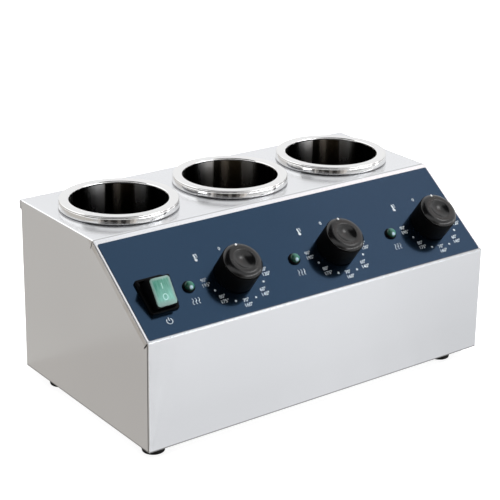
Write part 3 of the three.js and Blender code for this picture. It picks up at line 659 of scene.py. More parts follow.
def bareObject(name, bm):
    mesh = bpy.data.meshes.new(name)
    bm.to_mesh(mesh)
    bm.free()
    item = bpy.data.objects.new(name, mesh)
    bpy.context.scene.collection.objects.link(item)
    return item


def joinMeshes(bm, *others):
    for other in others:
        mesh = bpy.data.meshes.new("joined")
        other.to_mesh(mesh)
        other.free()
        bm.from_mesh(mesh)
        bpy.data.meshes.remove(mesh)
    return bm


print("studio")

# The camera stands to the left of the front and looks slightly down.
camera = {
    "place": (-0.866, -1.156, 0.681),
    "azimuth": 36.72,  # degrees from +Y towards +X
    "pitch": 19.35,
    "roll": 0.83,
    "lens": 112.2,
    "sensor": 36.0,
    "shiftY": -0.10,
    "clipStart": 0.01,
}


def makeCamera():
    data = bpy.data.cameras.new("camera")
    data.sensor_fit = "HORIZONTAL"
    data.sensor_width = camera["sensor"]
    data.lens = camera["lens"]
    data.shift_y = camera["shiftY"]
    data.clip_start = camera["clipStart"]
    item = bpy.data.objects.new("camera", data)
    bpy.context.scene.collection.objects.link(item)
    turn = Matrix.Rotation(math.radians(-camera["azimuth"]), 4, "Z")
    tilt = Matrix.Rotation(math.radians(90 - camera["pitch"]), 4, "X")
    roll = Matrix.Rotation(math.radians(camera["roll"]), 4, "Z")
    item.matrix_world = Matrix.Translation(camera["place"]) @ turn @ tilt @ roll
    bpy.context.scene.camera = item


studio = {
    "floorSize": 12.0,
    "floorTone": 0.75,
    "floorGlow": 0.88,
    "floorGloss": 0.22,
    "worldLight": 0.28,
    "aim": (0, 0, 0.1),
    "lamps": {  # place, energy and size, and whether surfaces mirror it or are lit by it
        "key": ((1.25, -0.4, 1.7), 34.0, 0.7, "light"),
        "edge": ((2.0, -0.7, 0.1), 2.0, 0.35, "mirror"),
    },
}


# Where the camera looks, and where a reflection or a refraction does.
def lookWires(tree):
    path = tree.nodes.new("ShaderNodeLightPath")
    seen = Wire(tree, path.outputs["Is Camera Ray"])
    mirrored = Wire(tree, path.outputs["Is Glossy Ray"])
    return seen, mirrored.most(Wire(tree, path.outputs["Is Transmission Ray"]))


# The world is white wherever the camera or a reflection sees it, and lights at a plain level.
def makeWorld():
    world = bpy.data.worlds.new("world")
    bpy.context.scene.world = world
    world.use_nodes = True
    background = world.node_tree.nodes["Background"]
    seen, mirrored = lookWires(world.node_tree)
    background.inputs["Color"].default_value = rgb(1, 1, 1)
    light = studio["worldLight"]
    feed(background, "Strength", seen.most(mirrored) * (1 - light) + light)


def makeFloor():
    bm = bmesh.new()
    bmesh.ops.create_grid(bm, x_segments=1, y_segments=1, size=studio["floorSize"] / 2)
    floor = bareObject("floor", bm)
    tone = studio["floorTone"]
    material, shader, place = newMaterial(
        "floorWhite",
        0.0,
        1.0,
        Specular_IOR_Level=0.0,
        Base_Color=rgb(tone, tone, tone),
        Emission_Color=rgb(1, 1, 1),
    )
    seen, mirrored = lookWires(place.tree)
    glow = seen * studio["floorGlow"] + mirrored * studio["floorGloss"]
    feed(shader, "Emission Strength", glow)
    floor.data.materials.append(material)


def makeLamp(name, place, energy, size, use):
    data = bpy.data.lights.new(name, "AREA")
    data.energy = energy
    data.size = size
    item = bpy.data.objects.new(name, data)
    bpy.context.scene.collection.objects.link(item)
    item.visible_glossy = use == "mirror"
    item.visible_diffuse = use == "light"
    aim = Vector(studio["aim"]) - Vector(place)
    turn = aim.to_track_quat("-Z", "Y").to_matrix().to_4x4()
    item.matrix_world = Matrix.Translation(place) @ turn


# Flags that only reflections see: four corners and a shade.
cards = {
    "upperLeft": (
        ((-2.0, -0.2, 1.5), (0.36, -1.15, 1.5), (0.36, 0.6, 1.5), (-2.0, 0.6, 1.5)),
        (0.02, 0.02, 0.02),
    ),
    "nearFloor": (
        ((-0.202, -0.3, 0.002), (-3.0, -0.3, 0.002), (-3.0, 0.12, 0.002), (-0.202, 0.12, 0.002)),
        (0.53, 0.502, 0.466),
    ),
    "leftFloor": (
        ((-0.202, 0.12, 0.002), (-3.0, 0.12, 0.002), (-3.0, 4.0, 0.002), (-0.202, 4.0, 0.002)),
        (0.578, 0.553, 0.517),
    ),
    "leftWall": (
        ((-3.0, 0.3, 0), (0.1, 2.7, 0), (0.1, 2.7, 0.75), (-3.0, 0.3, 0.75)),
        (0.58, 0.553, 0.515),
    ),
    "rearGlow": (
        ((-2.8, 0.9, 0.85), (0.1, 2.9, 0.85), (0.1, 2.2, 2.8), (-2.0, 0.7, 2.8)),
        (1.45, 1.45, 1.45),
    ),
    "frontGlow": (
        ((0.1, -2.45, 0.3), (2.1, -1.4, 0.3), (2.1, -1.4, 0.6), (0.1, -2.45, 0.6)),
        (6.5, 6.5, 6.5),
    ),
    "highGlow": (
        ((0.95, -1.15, 1.35), (1.4, -0.8, 1.35), (1.25, -0.65, 1.75), (0.8, -1.0, 1.75)),
        (5.4, 5.4, 5.4),
    ),
    "rightGlow": (
        ((1.09, -0.9, 1.65), (2.4, -0.9, 1.65), (2.4, 0.3, 1.65), (1.09, 0.3, 1.65)),
        (1.18, 1.1, 1.08),
    ),
}
# The floor before the front, which the front mirrors: where a row or column starts, and its shade.
frontFloor = {
    "gap": 1 * mm,
    "rise": 2 * mm,
    "lean": 0.746,  # to the right for each metre of depth, as the camera looks
    "tint": (1.0, 1.005, 1.01),
    "rows": ((0, 0.82), (0.07, 0.85), (0.13, 0.89), (0.2, 0.93), (0.27, 0.97), (1.4, 0)),
    "columns": (
        (-0.2, 1.0),
        (-0.05, 1.02),
        (0.02, 1.0),
        (0.07, 0.975),
        (0.12, 0.94),
        (0.16, 0.915),
        (0.6, 0),
    ),
}
# A dark strip curtain behind the camera, and the floor before it: shares of its width, and shades.
curtain = {
    "near": ((-0.55, -0.31), (-0.22, -0.64)),
    "far": ((-2.0, -0.63), (-0.1, -2.1)),
    "rise": 2 * mm,
    "height": 0.8,
    "tint": (1.0, 0.94, 0.88),
    "strips": (
        (0, 0.6),
        (0.08, 0.2),
        (0.17, 0.04),
        (0.27, 0.12),
        (0.34, 0.03),
        (0.48, 0.16),
        (0.56, 0.03),
        (0.68, 0.14),
        (0.78, 0.4),
        (0.9, 0.7),
        (1, 0),
    ),
}


def floorPlace(x, depth):
    return (x + depth * frontFloor["lean"], frontY - frontFloor["gap"] - depth, frontFloor["rise"])


def floorCards():
    rows = frontFloor["rows"]
    columns = frontFloor["columns"]
    for row, ((near, shade), (far, _)) in enumerate(zip(rows, rows[1:])):
        for column, ((left, factor), (right, _)) in enumerate(zip(columns, columns[1:])):
            corners = [
                floorPlace(left, near),
                floorPlace(right, near),
                floorPlace(right, far),
                floorPlace(left, far),
            ]
            tone = [shade * factor * part for part in frontFloor["tint"]]
            makeCard(f"frontFloor{row}_{column}", corners, tone)


def curtainPlace(line, share, height):
    start, end = curtain[line]
    return (start[0] + (end[0] - start[0]) * share, start[1] + (end[1] - start[1]) * share, height)


def curtainCards():
    strips = curtain["strips"]
    for number, ((low, shade), (high, _)) in enumerate(zip(strips, strips[1:])):
        near = [curtainPlace("near", share, curtain["rise"]) for share in (low, high)]
        far = [curtainPlace("far", share, curtain["rise"]) for share in (low, high)]
        top = [curtainPlace("far", share, curtain["height"]) for share in (high, low)]
        tone = [shade * part for part in curtain["tint"]]
        makeCard(f"curtainFloor{number}", near + far[::-1], tone)
        makeCard(f"curtainWall{number}", far + top, tone)


def makeCard(name, corners, shade):
    bm = bmesh.new()
    bm.faces.new([bm.verts.new(corner) for corner in corners])
    card = bareObject(name, bm)
    material = newMaterial(
        name,
        0.0,
        1.0,
        Specular_IOR_Level=0.0,
        Base_Color=rgb(0, 0, 0),
        Emission_Color=rgb(*shade),
        Emission_Strength=1.0,
    )[0]
    card.data.materials.append(material)
    card.visible_camera = False
    card.visible_diffuse = False
    card.visible_transmission = False
    card.visible_shadow = False


makeCamera()
makeWorld()
makeFloor()
for cardName, (corners, shade) in cards.items():
    makeCard(cardName, corners, shade)
floorCards()
curtainCards()
for lampName, settings in studio["lamps"].items():
    makeLamp(lampName, *settings)

print("housing")


# The outer sheet: a block cut at the slope, opened below and behind, with its flanges folded on.
def housingMesh():
    bm = blockMesh((-halfWidth, frontY, bottomZ), (halfWidth, sideRear, topZ))
    cut = bmesh.ops.bisect_plane(
        bm,
        geom=bm.verts[:] + bm.edges[:] + bm.faces[:],
        plane_co=(0, frontY, foldZ),
        plane_no=slopeMatrix.to_3x3() @ Vector((0, 0, 1)),
        clear_outer=True,
    )
    bmesh.ops.edgeloop_fill(bm, edges=[e for e in cut["geom_cut"] if isinstance(e, bmesh.types.BMEdge)])
    bmesh.ops.recalc_face_normals(bm, faces=bm.faces)
    openings = [f for f in bm.faces if f.normal.z < -0.9 or f.normal.y > 0.9]
    bmesh.ops.delete(bm, geom=openings, context="FACES")
    foldBottom(bm)
    foldRear(bm)
    bmesh.ops.recalc_face_normals(bm, faces=bm.faces)
    bmesh.ops.solidify(bm, geom=bm.faces[:], thickness=body["sheet"])
    bmesh.ops.recalc_face_normals(bm, faces=bm.faces)
    weighFolds(bm)
    return bm


# Names the outer planes that a corner lies on.
def planesAt(point):
    close = 1e-5
    below = (point.z - foldZ) * math.cos(slopeAngle) - (point.y - frontY) * math.sin(slopeAngle)
    tests = {
        "side": abs(abs(point.x) - halfWidth) < close,
        "front": abs(point.y - frontY) < close,
        "top": abs(point.z - topZ) < close,
        "bottom": abs(point.z - bottomZ) < close,
        "slope": abs(below) < close,
        "rear": abs(point.y - sideRear) < close,
        "lip": abs(point.y - shellHigh.y) < close,
    }
    return {name for name, lies in tests.items() if lies}


def weighFolds(bm):
    layer = bm.edges.layers.float.new("bevel_weight_edge")
    for edge in bm.edges:
        shared = planesAt(edge.verts[0].co) & planesAt(edge.verts[1].co)
        for pair, weight in body["rounding"].items():
            if shared >= set(pair):
                edge[layer] = weight


def extrudeEdges(bm, edges, step):
    made = bmesh.ops.extrude_edge_only(bm, edges=edges)["geom"]
    verts = [v for v in made if isinstance(v, bmesh.types.BMVert)]
    bmesh.ops.translate(bm, vec=step, verts=verts)
    return verts, [e for e in made if isinstance(e, bmesh.types.BMEdge)]


def foldBottom(bm):
    inset = body["flange"]
    low = [e for e in bm.edges if e.is_boundary and all(v.co.z < bottomZ + touch for v in e.verts)]
    for edge in low:
        middle = (edge.verts[0].co + edge.verts[1].co) / 2
        atFront = middle.y < frontY + touch
        step = Vector((0, inset, 0)) if atFront else Vector((-math.copysign(inset, middle.x), 0, 0))
        verts = extrudeEdges(bm, [edge], step)[0]
        for vert in verts:
            if atFront:
                vert.co.x -= math.copysign(inset, vert.co.x)
            elif vert.co.y < frontY + inset:
                vert.co.y += inset + body["sheet"]


def foldRear(bm):
    rear = [e for e in bm.edges if e.is_boundary and all(v.co.y > sideRear - touch for v in e.verts)]
    for edge in rear:
        middle = (edge.verts[0].co + edge.verts[1].co) / 2
        if middle.z > topZ - touch:
            edges = extrudeEdges(bm, [edge], Vector((0, shellHigh.y - sideRear, 0)))[1]
            extrudeEdges(bm, edges, Vector((0, 0, -body["lipDrop"])))
        elif abs(middle.x) > halfWidth - touch:
            extrudeEdges(bm, [edge], Vector((-math.copysign(body["flange"], middle.x), 0, 0)))


# A piece of one side, or its mirror image with its faces turned out again.
def sided(bm, side):
    moved(bm, Matrix.Scale(side, 4, (1, 0, 0)))
    bmesh.ops.recalc_face_normals(bm, faces=bm.faces)
    return bm


# The slope's edge is folded down over each side, with slanted ends.
def slopeBands():
    made = []
    width = body["bandWidth"]
    frontLean, rearLean = body["bandLean"]
    for side in (-1, 1):
        bm = blockMesh(
            (-body["sheet"] / 2, body["bandStart"], -width),
            (body["bandProud"], slopeLength - body["bandEnd"], -body["bandDrop"]),
        )
        for vert in bm.verts:
            if vert.co.z < -width / 2:
                vert.co.y += frontLean if vert.co.y < slopeLength / 2 else rearLean
        outer = [e for e in bm.edges if all(v.co.x > 0 for v in e.verts)]
        bevelEdges(bm, outer, body["bandEdge"])
        seat = slopeMatrix @ Matrix.Translation((side * halfWidth, 0, 0))
        made.append(moved(sided(bm, side), seat))
    return made


# The ends of the top's rear lip are closed flush with the sides.
def lipEnds():
    low = (halfWidth - body["sheet"], sideRear, topZ - body["lipDrop"])
    high = (halfWidth, shellHigh.y - body["lipEndGap"], topZ - body["lipEndDrop"])
    return [sided(blockMesh(low, high), side) for side in (-1, 1)]


# Open seams: one down each front corner, and a cut at either end of the slope's flange.
seams = {
    "depth": 1.5 * mm,
    "proud": 1 * mm,
    "start": 0.9 * mm,
    "width": 1.1 * mm,
    "top": 2.4 * mm,
    "slits": (  # place, heading in degrees, length and width
        ((frontY + 1.2 * mm, foldZ - 0.7 * mm), -49.5, 8 * mm, 1.4 * mm),
        ((frontY + body["slopeDepth"] + 0.4 * mm, topZ - 1.2 * mm), -66, 8.2 * mm, 0.9 * mm),
    ),
}


def seamCutters():
    made = []
    inner = halfWidth - seams["depth"]
    outer = halfWidth + seams["proud"]
    start = frontY + seams["start"]
    for side in (-1, 1):
        low = (inner, start, bottomZ - seams["proud"])
        high = (outer, start + seams["width"], foldZ - seams["top"])
        made.append(sided(blockMesh(low, high), side))
        for (y, z), heading, length, width in seams["slits"]:
            slit = blockMesh((inner, 0, -width / 2), (outer, length, width / 2))
            turn = Matrix.Rotation(math.radians(heading), 4, "X")
            moved(slit, Matrix.Translation((0, y, z)) @ turn)
            made.append(sided(slit, side))
    return made


# Holes along the row of controls, on the flat: for each shaft and lamp, and for the switch.
def controlCutters(bores, opening):
    made = []
    row = controls["row"]
    for x in controls["knobs"]:
        for place, radius in zip((x, x + controls["lampOffset"]), bores):
            seat = Matrix.Translation((place, row, 0))
            made.append(moved(discMesh(radius, controls["drill"]), seat))
    wide, long = opening
    deep = controls["drill"] / 2
    slot = blockMesh((-wide, -long, -deep), (wide, long, deep))
    made.append(moved(slot, Matrix.Translation((controls["switch"], row, 0))))
    return made


def housingCutters():
    tools = seamCutters()
    for x, y in wellPlaces:
        tool = discMesh(body["wellHole"], 2 * controls["drill"], 96)
        tools.append(moved(tool, Matrix.Translation((x, y, topZ))))
    for tool in controlCutters(controls["bores"], controls["opening"]):
        tools.append(moved(tool, slopeMatrix))
    return tools


shell = cutMesh(housingMesh(), housingCutters(), body["bend"])
joinMeshes(shell, *slopeBands(), *lipEnds())
housingPiece = addPiece(
    "housing", shell, housingSteel, "housing", ["housing_shell"], 30
)
keepFlat(housingPiece, body["flatPanel"])

print("wells")

well = {
    "inner": 47.5 * mm,
    "outer": 58 * mm,
    "wall": 1 * mm,
    "gap": 0.3 * mm,  # between the top sheet and the collar
    "chamfer": 0.9 * mm,
    "chamferRounds": (0.2 * mm, 0.6 * mm),
    "taper": 0.7 * mm,
    "collarRound": 1.2 * mm,
    "crease": (0.5 * mm, 0.4 * mm),  # depth and height
    "lipRadius": 57.2 * mm,
    "lipHeight": 1.3 * mm,
    "lipEdge": 0.2 * mm,
    "lipRound": 1.2 * mm,
    "innerEdge": 1.6 * mm,
    "floorCorner": 9 * mm,
}


def wellMesh():
    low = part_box("well_1")[0].z
    lipLow = potTop - well["lipHeight"]
    seat = topZ + well["gap"]
    inner = well["inner"]
    wall = well["wall"]
    lip = well["lipRadius"]
    firstRound, secondRound = well["chamferRounds"]
    depth, height = well["crease"]
    return turnedMesh(
        [
            (0, low, 0),
            (inner + wall, low, well["floorCorner"] + wall),
            (inner + wall, seat, 0),
            (well["outer"] - well["chamfer"], seat, firstRound),
            (well["outer"], seat + well["chamfer"], secondRound),
            (well["outer"] - well["taper"], lipLow - height, well["collarRound"]),
            (lip - depth, lipLow - height, 0),
            (lip - depth, lipLow, 0),
            (lip, lipLow, well["lipEdge"]),
            (lip, potTop, well["lipRound"]),
            (inner, potTop, well["innerEdge"]),
            (inner, low + wall, well["floorCorner"]),
            (0, low + wall, 0),
        ],
        steps=128,
        segments=6,
    )


for zone, (x, y) in zip(zones, wellPlaces):
    steel = potSteel(f"potSteel{zone}", x, potFinish["mirroredBrowning"][zone - 1])
    pot = moved(wellMesh(), Matrix.Translation((x, y, 0)))
    addPiece(f"pot_{zone}", pot, steel, "housing", [f"well_{zone}"], 50)

print("controls")

knob = {
    "base": 1.6 * mm,
    "face": 26.6 * mm,
    "radius": 20 * mm,
    "skirtRounds": (0.4 * mm, 0.5 * mm),
    "groove": 18.6 * mm,
    "grooveLow": 22.1 * mm,
    "grooveHigh": 23.0 * mm,
    "cap": 19.3 * mm,
    "capRounds": (0.2 * mm, 0.5 * mm),
    # height of the band of painted highlight at the cap's foot
    "highlightRim": 0.25 * mm,
    "bevel": 3.1 * mm,
    "bevelRound": 2.6 * mm,
    "dimple": 10.6 * mm,
    "dimpleDepth": 3.2 * mm,
    "dimpleRound": 0.9 * mm,
    "dimpleSteps": 10,
    "wall": 2.2 * mm,
    "hub": 6 * mm,
    "hubLow": 4.6 * mm,
    "bore": 3.3 * mm,
    "dotReach": 16.7 * mm,
    "dot": 1.25 * mm,
    "dotDepth": 1.4 * mm,
    "dotSink": 0.05 * mm,
    "dotRound": 0.25 * mm,
}


def knobMesh():
    face = knob["face"]
    floor = face - knob["dimpleDepth"]
    roof = floor - knob["wall"]
    inner = knob["radius"] - knob["wall"]
    sphere = (knob["dimple"] ** 2 + knob["dimpleDepth"] ** 2) / (2 * knob["dimpleDepth"])
    bowl = []
    for step in reversed(range(knob["dimpleSteps"])):
        radius = knob["dimple"] * step / knob["dimpleSteps"]
        bowl.append((radius, floor + sphere - math.sqrt(sphere**2 - radius**2), 0))
    bm = turnedMesh(
        [
            (knob["bore"], knob["hubLow"], 0),
            (knob["hub"], knob["hubLow"], 0),
            (knob["hub"], roof, 0),
            (inner, roof, 0),
            (inner, knob["base"], 0),
            (knob["radius"], knob["base"], knob["skirtRounds"][0]),
            (knob["radius"], knob["grooveLow"], knob["skirtRounds"][1]),
            (knob["groove"], knob["grooveLow"], 0),
            (knob["groove"], knob["grooveHigh"], 0),
            (knob["cap"], knob["grooveHigh"], knob["capRounds"][0]),
            (knob["cap"], face - knob["bevel"], knob["capRounds"][1]),
            (knob["cap"] - knob["bevel"], face, knob["bevelRound"]),
            (knob["dimple"], face, knob["dimpleRound"]),
            *bowl,
            (0, roof, 0),
            (knob["bore"], roof, 0),
        ],
        steps=96,
        segments=7,
    )
    # the side and the groove take the second material, a painted shade, and the cap's lower edge
    # the third, a painted highlight
    for part in bm.faces:
        middle = part.calc_center_median()
        if middle.z < knob["grooveHigh"]:
            part.material_index = 1
        elif middle.z < knob["grooveHigh"] + knob["highlightRim"] and middle.xy.length > knob["dimple"]:
            part.material_index = 2
    return bm


def dotMesh():
    low = knob["face"] - knob["dotDepth"]
    high = knob["face"] - knob["dotSink"]
    return turnedMesh(
        [(0, low, 0), (knob["dot"], low, 0), (knob["dot"], high, knob["dotRound"]), (0, high, 0)],
        steps=24,
        segments=2,
    )


lamp = {
    "low": -22 * mm,
    "body": 4.8 * mm,
    "bodyRound": 0.5 * mm,
    "seat": 0.8 * mm,
    "ring": 6.1 * mm,
    "ringHigh": 2.2 * mm,
    "ringRound": 0.8 * mm,
    "bore": 3.9 * mm,
    "boreLow": -2 * mm,
    "boreRound": 0.2 * mm,
    "stem": 3.6 * mm,
    "stemLow": -1.7 * mm,
    "lens": 4.9 * mm,
    "lensLow": 2.3 * mm,
    "lensEdge": 0.1 * mm,
    "lensHigh": 5.6 * mm,
    "dome": 3.2 * mm,
    "domeRise": 0.05 * mm,
    # where the painted highlight on the lens sits
    "highlightSpot": (-0.3 * mm, -3.1 * mm, 4.9 * mm),
}


def lampRingMesh():
    return turnedMesh(
        [
            (0, lamp["low"], 0),
            (lamp["body"], lamp["low"], lamp["bodyRound"]),
            (lamp["body"], lamp["seat"], 0),
            (lamp["ring"], lamp["seat"], 0),
            (lamp["ring"], lamp["ringHigh"], lamp["ringRound"]),
            (lamp["bore"], lamp["ringHigh"], lamp["boreRound"]),
            (lamp["bore"], lamp["boreLow"], 0),
            (0, lamp["boreLow"], 0),
        ],
        steps=48,
    )


def lampLensMesh():
    return turnedMesh(
        [
            (0, lamp["stemLow"], 0),
            (lamp["stem"], lamp["stemLow"], 0),
            (lamp["stem"], lamp["lensLow"], 0),
            (lamp["lens"], lamp["lensLow"], lamp["lensEdge"]),
            (lamp["lens"], lamp["lensHigh"], lamp["dome"]),
            (0, lamp["lensHigh"] + lamp["domeRise"], 0),
        ],
        steps=48,
        segments=8,
    )


def makeDial(zone, seat):
    turning = f"dial_{zone}"
    finishes = [knobBlack, shadedSideBlack, rimHighlightBlack]
    knobPiece = moved(knobMesh(), seat)
    nodes = [f"knob_{zone}"]
    addPiece(f"dialKnob_{zone}", knobPiece, finishes, turning, nodes, 40)
    dot = moved(dotMesh(), seat @ Matrix.Translation((0, knob["dotReach"], 0)))
    addPiece(f"dialDot_{zone}", dot, dotWhite, turning, [f"pointer_{zone}"], 40)


def makeLampPieces(zone, seat):
    ring = moved(lampRingMesh(), seat)
    nodes = [f"lamp_body_{zone}"]
    addPiece(f"lampRing_{zone}", ring, switchBlack, "housing", nodes, 40)
    green = lampGreen(f"lampGreen{zone}", (seat @ Matrix.Translation(lamp["highlightSpot"])).translation)
    lens = moved(lampLensMesh(), seat)
    nodes = [f"lamp_lens_{zone}"]
    addPiece(f"lampLens_{zone}", lens, green, "housing", nodes, 60)


for zone, x in zip(zones, controls["knobs"]):
    makeDial(zone, onSlope(x))
    makeLampPieces(zone, onSlope(x + controls["lampOffset"]))

switch = {
    "tilt": math.radians(18),
    "pivotRise": 0.5 * mm,
    "bezelWidth": 30 * mm,
    "bezelLength": 37 * mm,
    "bezelLow": 0.8 * mm,
    "bezelHigh": 3.3 * mm,
    "bezelCorner": 2.5 * mm,
    "bezelEdge": 0.9 * mm,
    "can": (13.8 * mm, 17.3 * mm),
    "canSunk": 1 * mm,
    "pocket": (11.6 * mm, 16.1 * mm),
    "pocketFloor": -14 * mm,
    "depth": 25 * mm,
    "blade": (2.4 * mm, 0.4 * mm),
    "bladeLength": 8 * mm,
    "bladeSunk": 1 * mm,
    "bladePitch": 6 * mm,
    "overrun": 20 * mm,
    "reach": 14 * mm,  # from the pivot to the rocker's face
    "halfFace": 14.2 * mm,
    "halfWidth": 11.3 * mm,
    "waist": (13.4 * mm, 3 * mm),
    "heel": (12.3 * mm, -6 * mm),
    "rockerEdge": 0.7 * mm,
    "lensWidth": 20.7 * mm,
    "lensLength": 26.5 * mm,
    "lensSeat": 13.3 * mm,
    "lensHigh": 14.7 * mm,
    "lensCorner": 3 * mm,
    "lensEdge": 0.35 * mm,
    "lensGap": 0.1 * mm,
    "bar": ((-0.45 * mm, 2.3 * mm), (0.45 * mm, 7.7 * mm)),
    "ring": (1.9 * mm, 2.75 * mm),
    "ringDown": 5.3 * mm,
    "ringStretch": 1.15,
    "ink": 0.12 * mm,
    "inkSink": 0.02 * mm,
}
pivotMatrix = (
    onSlope(controls["switch"], controls["row"], switch["pivotRise"])
    @ Matrix.Rotation(switch["tilt"], 4, "X")
)


def switchFrameMesh():
    low = switch["bezelLow"]
    rim = plateMesh(
        switch["bezelWidth"],
        switch["bezelLength"],
        low,
        switch["bezelHigh"],
        switch["bezelCorner"],
        switch["bezelEdge"],
    )
    wide, long = switch["can"]
    can = blockMesh((-wide, -long, -switch["depth"]), (wide, long, low + switch["canSunk"]))
    wide, long = switch["pocket"]
    high = switch["overrun"]
    rim = cutMesh(rim, [blockMesh((-wide, -long, -high), (wide, long, high))])
    can = cutMesh(can, [blockMesh((-wide, -long, switch["pocketFloor"]), (wide, long, high))])
    return joinMeshes(rim, can, *switchBlades())


def switchBlades():
    made = []
    wide, thick = switch["blade"]
    low = -switch["depth"] - switch["bladeLength"]
    high = -switch["depth"] + switch["bladeSunk"]
    for x in (-switch["bladePitch"], switch["bladePitch"]):
        for y in (-switch["bladePitch"], switch["bladePitch"]):
            made.append(blockMesh((x - wide, y - thick, low), (x + wide, y + thick, high)))
    return made


# The rocker's side view is drawn flat, pulled out sideways and rounded at its upper edges.
def rockerMesh():
    bm = bmesh.new()
    side = switch["halfWidth"]
    outline = [(switch["halfFace"], switch["reach"]), switch["waist"], switch["heel"]]
    corners = [(-y, z) for y, z in outline] + outline[::-1]
    face = bm.faces.new([bm.verts.new((-side, y, z)) for y, z in corners])
    made = bmesh.ops.extrude_face_region(bm, geom=[face])["geom"]
    verts = [v for v in made if isinstance(v, bmesh.types.BMVert)]
    bmesh.ops.translate(bm, vec=(2 * side, 0, 0), verts=verts)
    bmesh.ops.recalc_face_normals(bm, faces=bm.faces)
    rim = [e for e in bm.edges if all(v.co.z > 0 for v in e.verts)]
    bevelEdges(bm, rim, switch["rockerEdge"])
    gap = switch["lensGap"]
    pocket = plateMesh(
        switch["lensWidth"] + 2 * gap,
        switch["lensLength"] + 2 * gap,
        switch["lensSeat"] - gap,
        switch["overrun"],
        switch["lensCorner"] + gap,
    )
    return cutMesh(bm, [pocket])


def rockerLensMesh():
    return plateMesh(
        switch["lensWidth"],
        switch["lensLength"],
        switch["lensSeat"],
        switch["lensHigh"],
        switch["lensCorner"],
        switch["lensEdge"],
    )


# The marks on the rocker stand a little proud of the lens, as hot foil does.
def rockerMarks():
    ink = switch["ink"]
    low, high = switch["bar"]
    bar = blockMesh((*low, 0), (*high, ink))
    inner, outer = switch["ring"]
    corners = [(inner, 0, 0), (outer, 0, 0), (outer, ink, 0), (inner, ink, 0)]
    ring = turnedMesh(corners, steps=40, closed=True)
    stretch = Matrix.Scale(switch["ringStretch"], 4, (0, 1, 0))
    moved(ring, Matrix.Translation((0, -switch["ringDown"], 0)) @ stretch)
    height = switch["lensHigh"] - switch["inkSink"]
    return moved(joinMeshes(bar, ring), Matrix.Translation((0, 0, height)))


frameMesh = moved(switchFrameMesh(), onSlope(controls["switch"]))
addPiece("switchFrame", frameMesh, switchBlack, "housing", ["switch_frame"], 40)
rocking = moved(rockerMesh(), pivotMatrix)
addPiece("rockerBody", rocking, switchBlack, "rocker_switch", ["rocker"], 40)
rockerGreenPlastic = rockerGreen(
    tuple(pivotMatrix.translation),
    slopeAngle + switch["tilt"],
    (switch["lensWidth"] / 2, switch["lensLength"] / 2),
)
lensMesh = moved(rockerLensMesh(), pivotMatrix)
addPiece(
    "rockerLens", lensMesh, rockerGreenPlastic, "rocker_switch", ["rocker_lens"], 40
)
marksMesh = moved(rockerMarks(), pivotMatrix)
addPiece("rockerMarks", marksMesh, inkMint, "rocker_switch")

print("overlay")

film = {
    "side": 2.2 * mm,
    "front": 2.2 * mm,
    "rear": 5.2 * mm,
    "low": 0.1 * mm,
    "high": 0.5 * mm,
    "corner": 1.5 * mm,
    "bores": (5.8 * mm, 5.5 * mm),
    "opening": (14.5 * mm, 18 * mm),
    "inkLow": 0.49 * mm,
    "inkHigh": 0.56 * mm,
}
inkMiddle = (film["inkLow"] + film["inkHigh"]) / 2
inkHalf = (film["inkHigh"] - film["inkLow"]) / 2


def filmMesh():
    width = 2 * (halfWidth - film["side"])
    length = slopeLength - film["front"] - film["rear"]
    bm = plateMesh(width, length, film["low"], film["high"], film["corner"])
    moved(bm, Matrix.Translation((0, film["front"] + length / 2, 0)))
    return cutMesh(bm, controlCutters(film["bores"], film["opening"]))


filmPiece = moved(filmMesh(), slopeMatrix)
addPiece("controlFilm", filmPiece, navyFilm, "housing", ["control_overlay"], 30)

dial = {
    "dotRadius": 29 * mm,
    "dotAngles": (200.5, 243.5, 288, 331),
    "dotSize": 1.15 * mm,
    "labels": (  # heading, distance and text of each setting
        (180, 32.6 * mm, "90", "195"),
        (221.5, 31.2 * mm, "80", "175"),
        (266, 30.4 * mm, "70", "160"),
        (310, 31.6 * mm, "60", "140"),
        (352, 33 * mm, "50", "120"),
    ),
    "textSize": 5.1 * mm,
    "textThick": 0.03 * mm,
    "textBold": 0.06 * mm,
    "lineStep": 5.3 * mm,
    "zeroRise": 30.4 * mm,
}


def textMesh(words):
    data = bpy.data.curves.new("words", "FONT")
    data.body = words
    data.size = dial["textSize"]
    data.align_x = "CENTER"
    data.align_y = "CENTER"
    data.extrude = dial["textThick"]
    data.offset = dial["textBold"]
    data.resolution_u = 3
    item = bpy.data.objects.new("words", data)
    bpy.context.scene.collection.objects.link(item)
    bpy.context.view_layer.update()
    graph = bpy.context.evaluated_depsgraph_get()
    mesh = bpy.data.meshes.new_from_object(item.evaluated_get(graph))
    bm = bmesh.new()
    bm.from_mesh(mesh)
    bpy.data.objects.remove(item)
    bpy.data.meshes.remove(mesh)
    return bm


def printed(bm, x, along):
    return moved(bm, slopeMatrix @ Matrix.Translation((x, along, inkMiddle)))


def aroundKnob(x, heading, distance):
    angle = math.radians(heading)
    return x + distance * math.cos(angle), controls["row"] + distance * math.sin(angle)


def dialPrint(x):
    parts = []
    half = dial["lineStep"] / 2
    for heading, distance, upper, lower in dial["labels"]:
        across, along = aroundKnob(x, heading, distance)
        parts.append(printed(textMesh(upper + "°"), across, along + half))
        parts.append(printed(textMesh(lower + "°"), across, along - half))
    for heading in dial["dotAngles"]:
        spot = discMesh(dial["dotSize"], 2 * inkHalf, 20)
        parts.append(printed(spot, *aroundKnob(x, heading, dial["dotRadius"])))
    parts.append(printed(textMesh("0"), x, controls["row"] + dial["zeroRise"]))
    return joinMeshes(bmesh.new(), *parts)


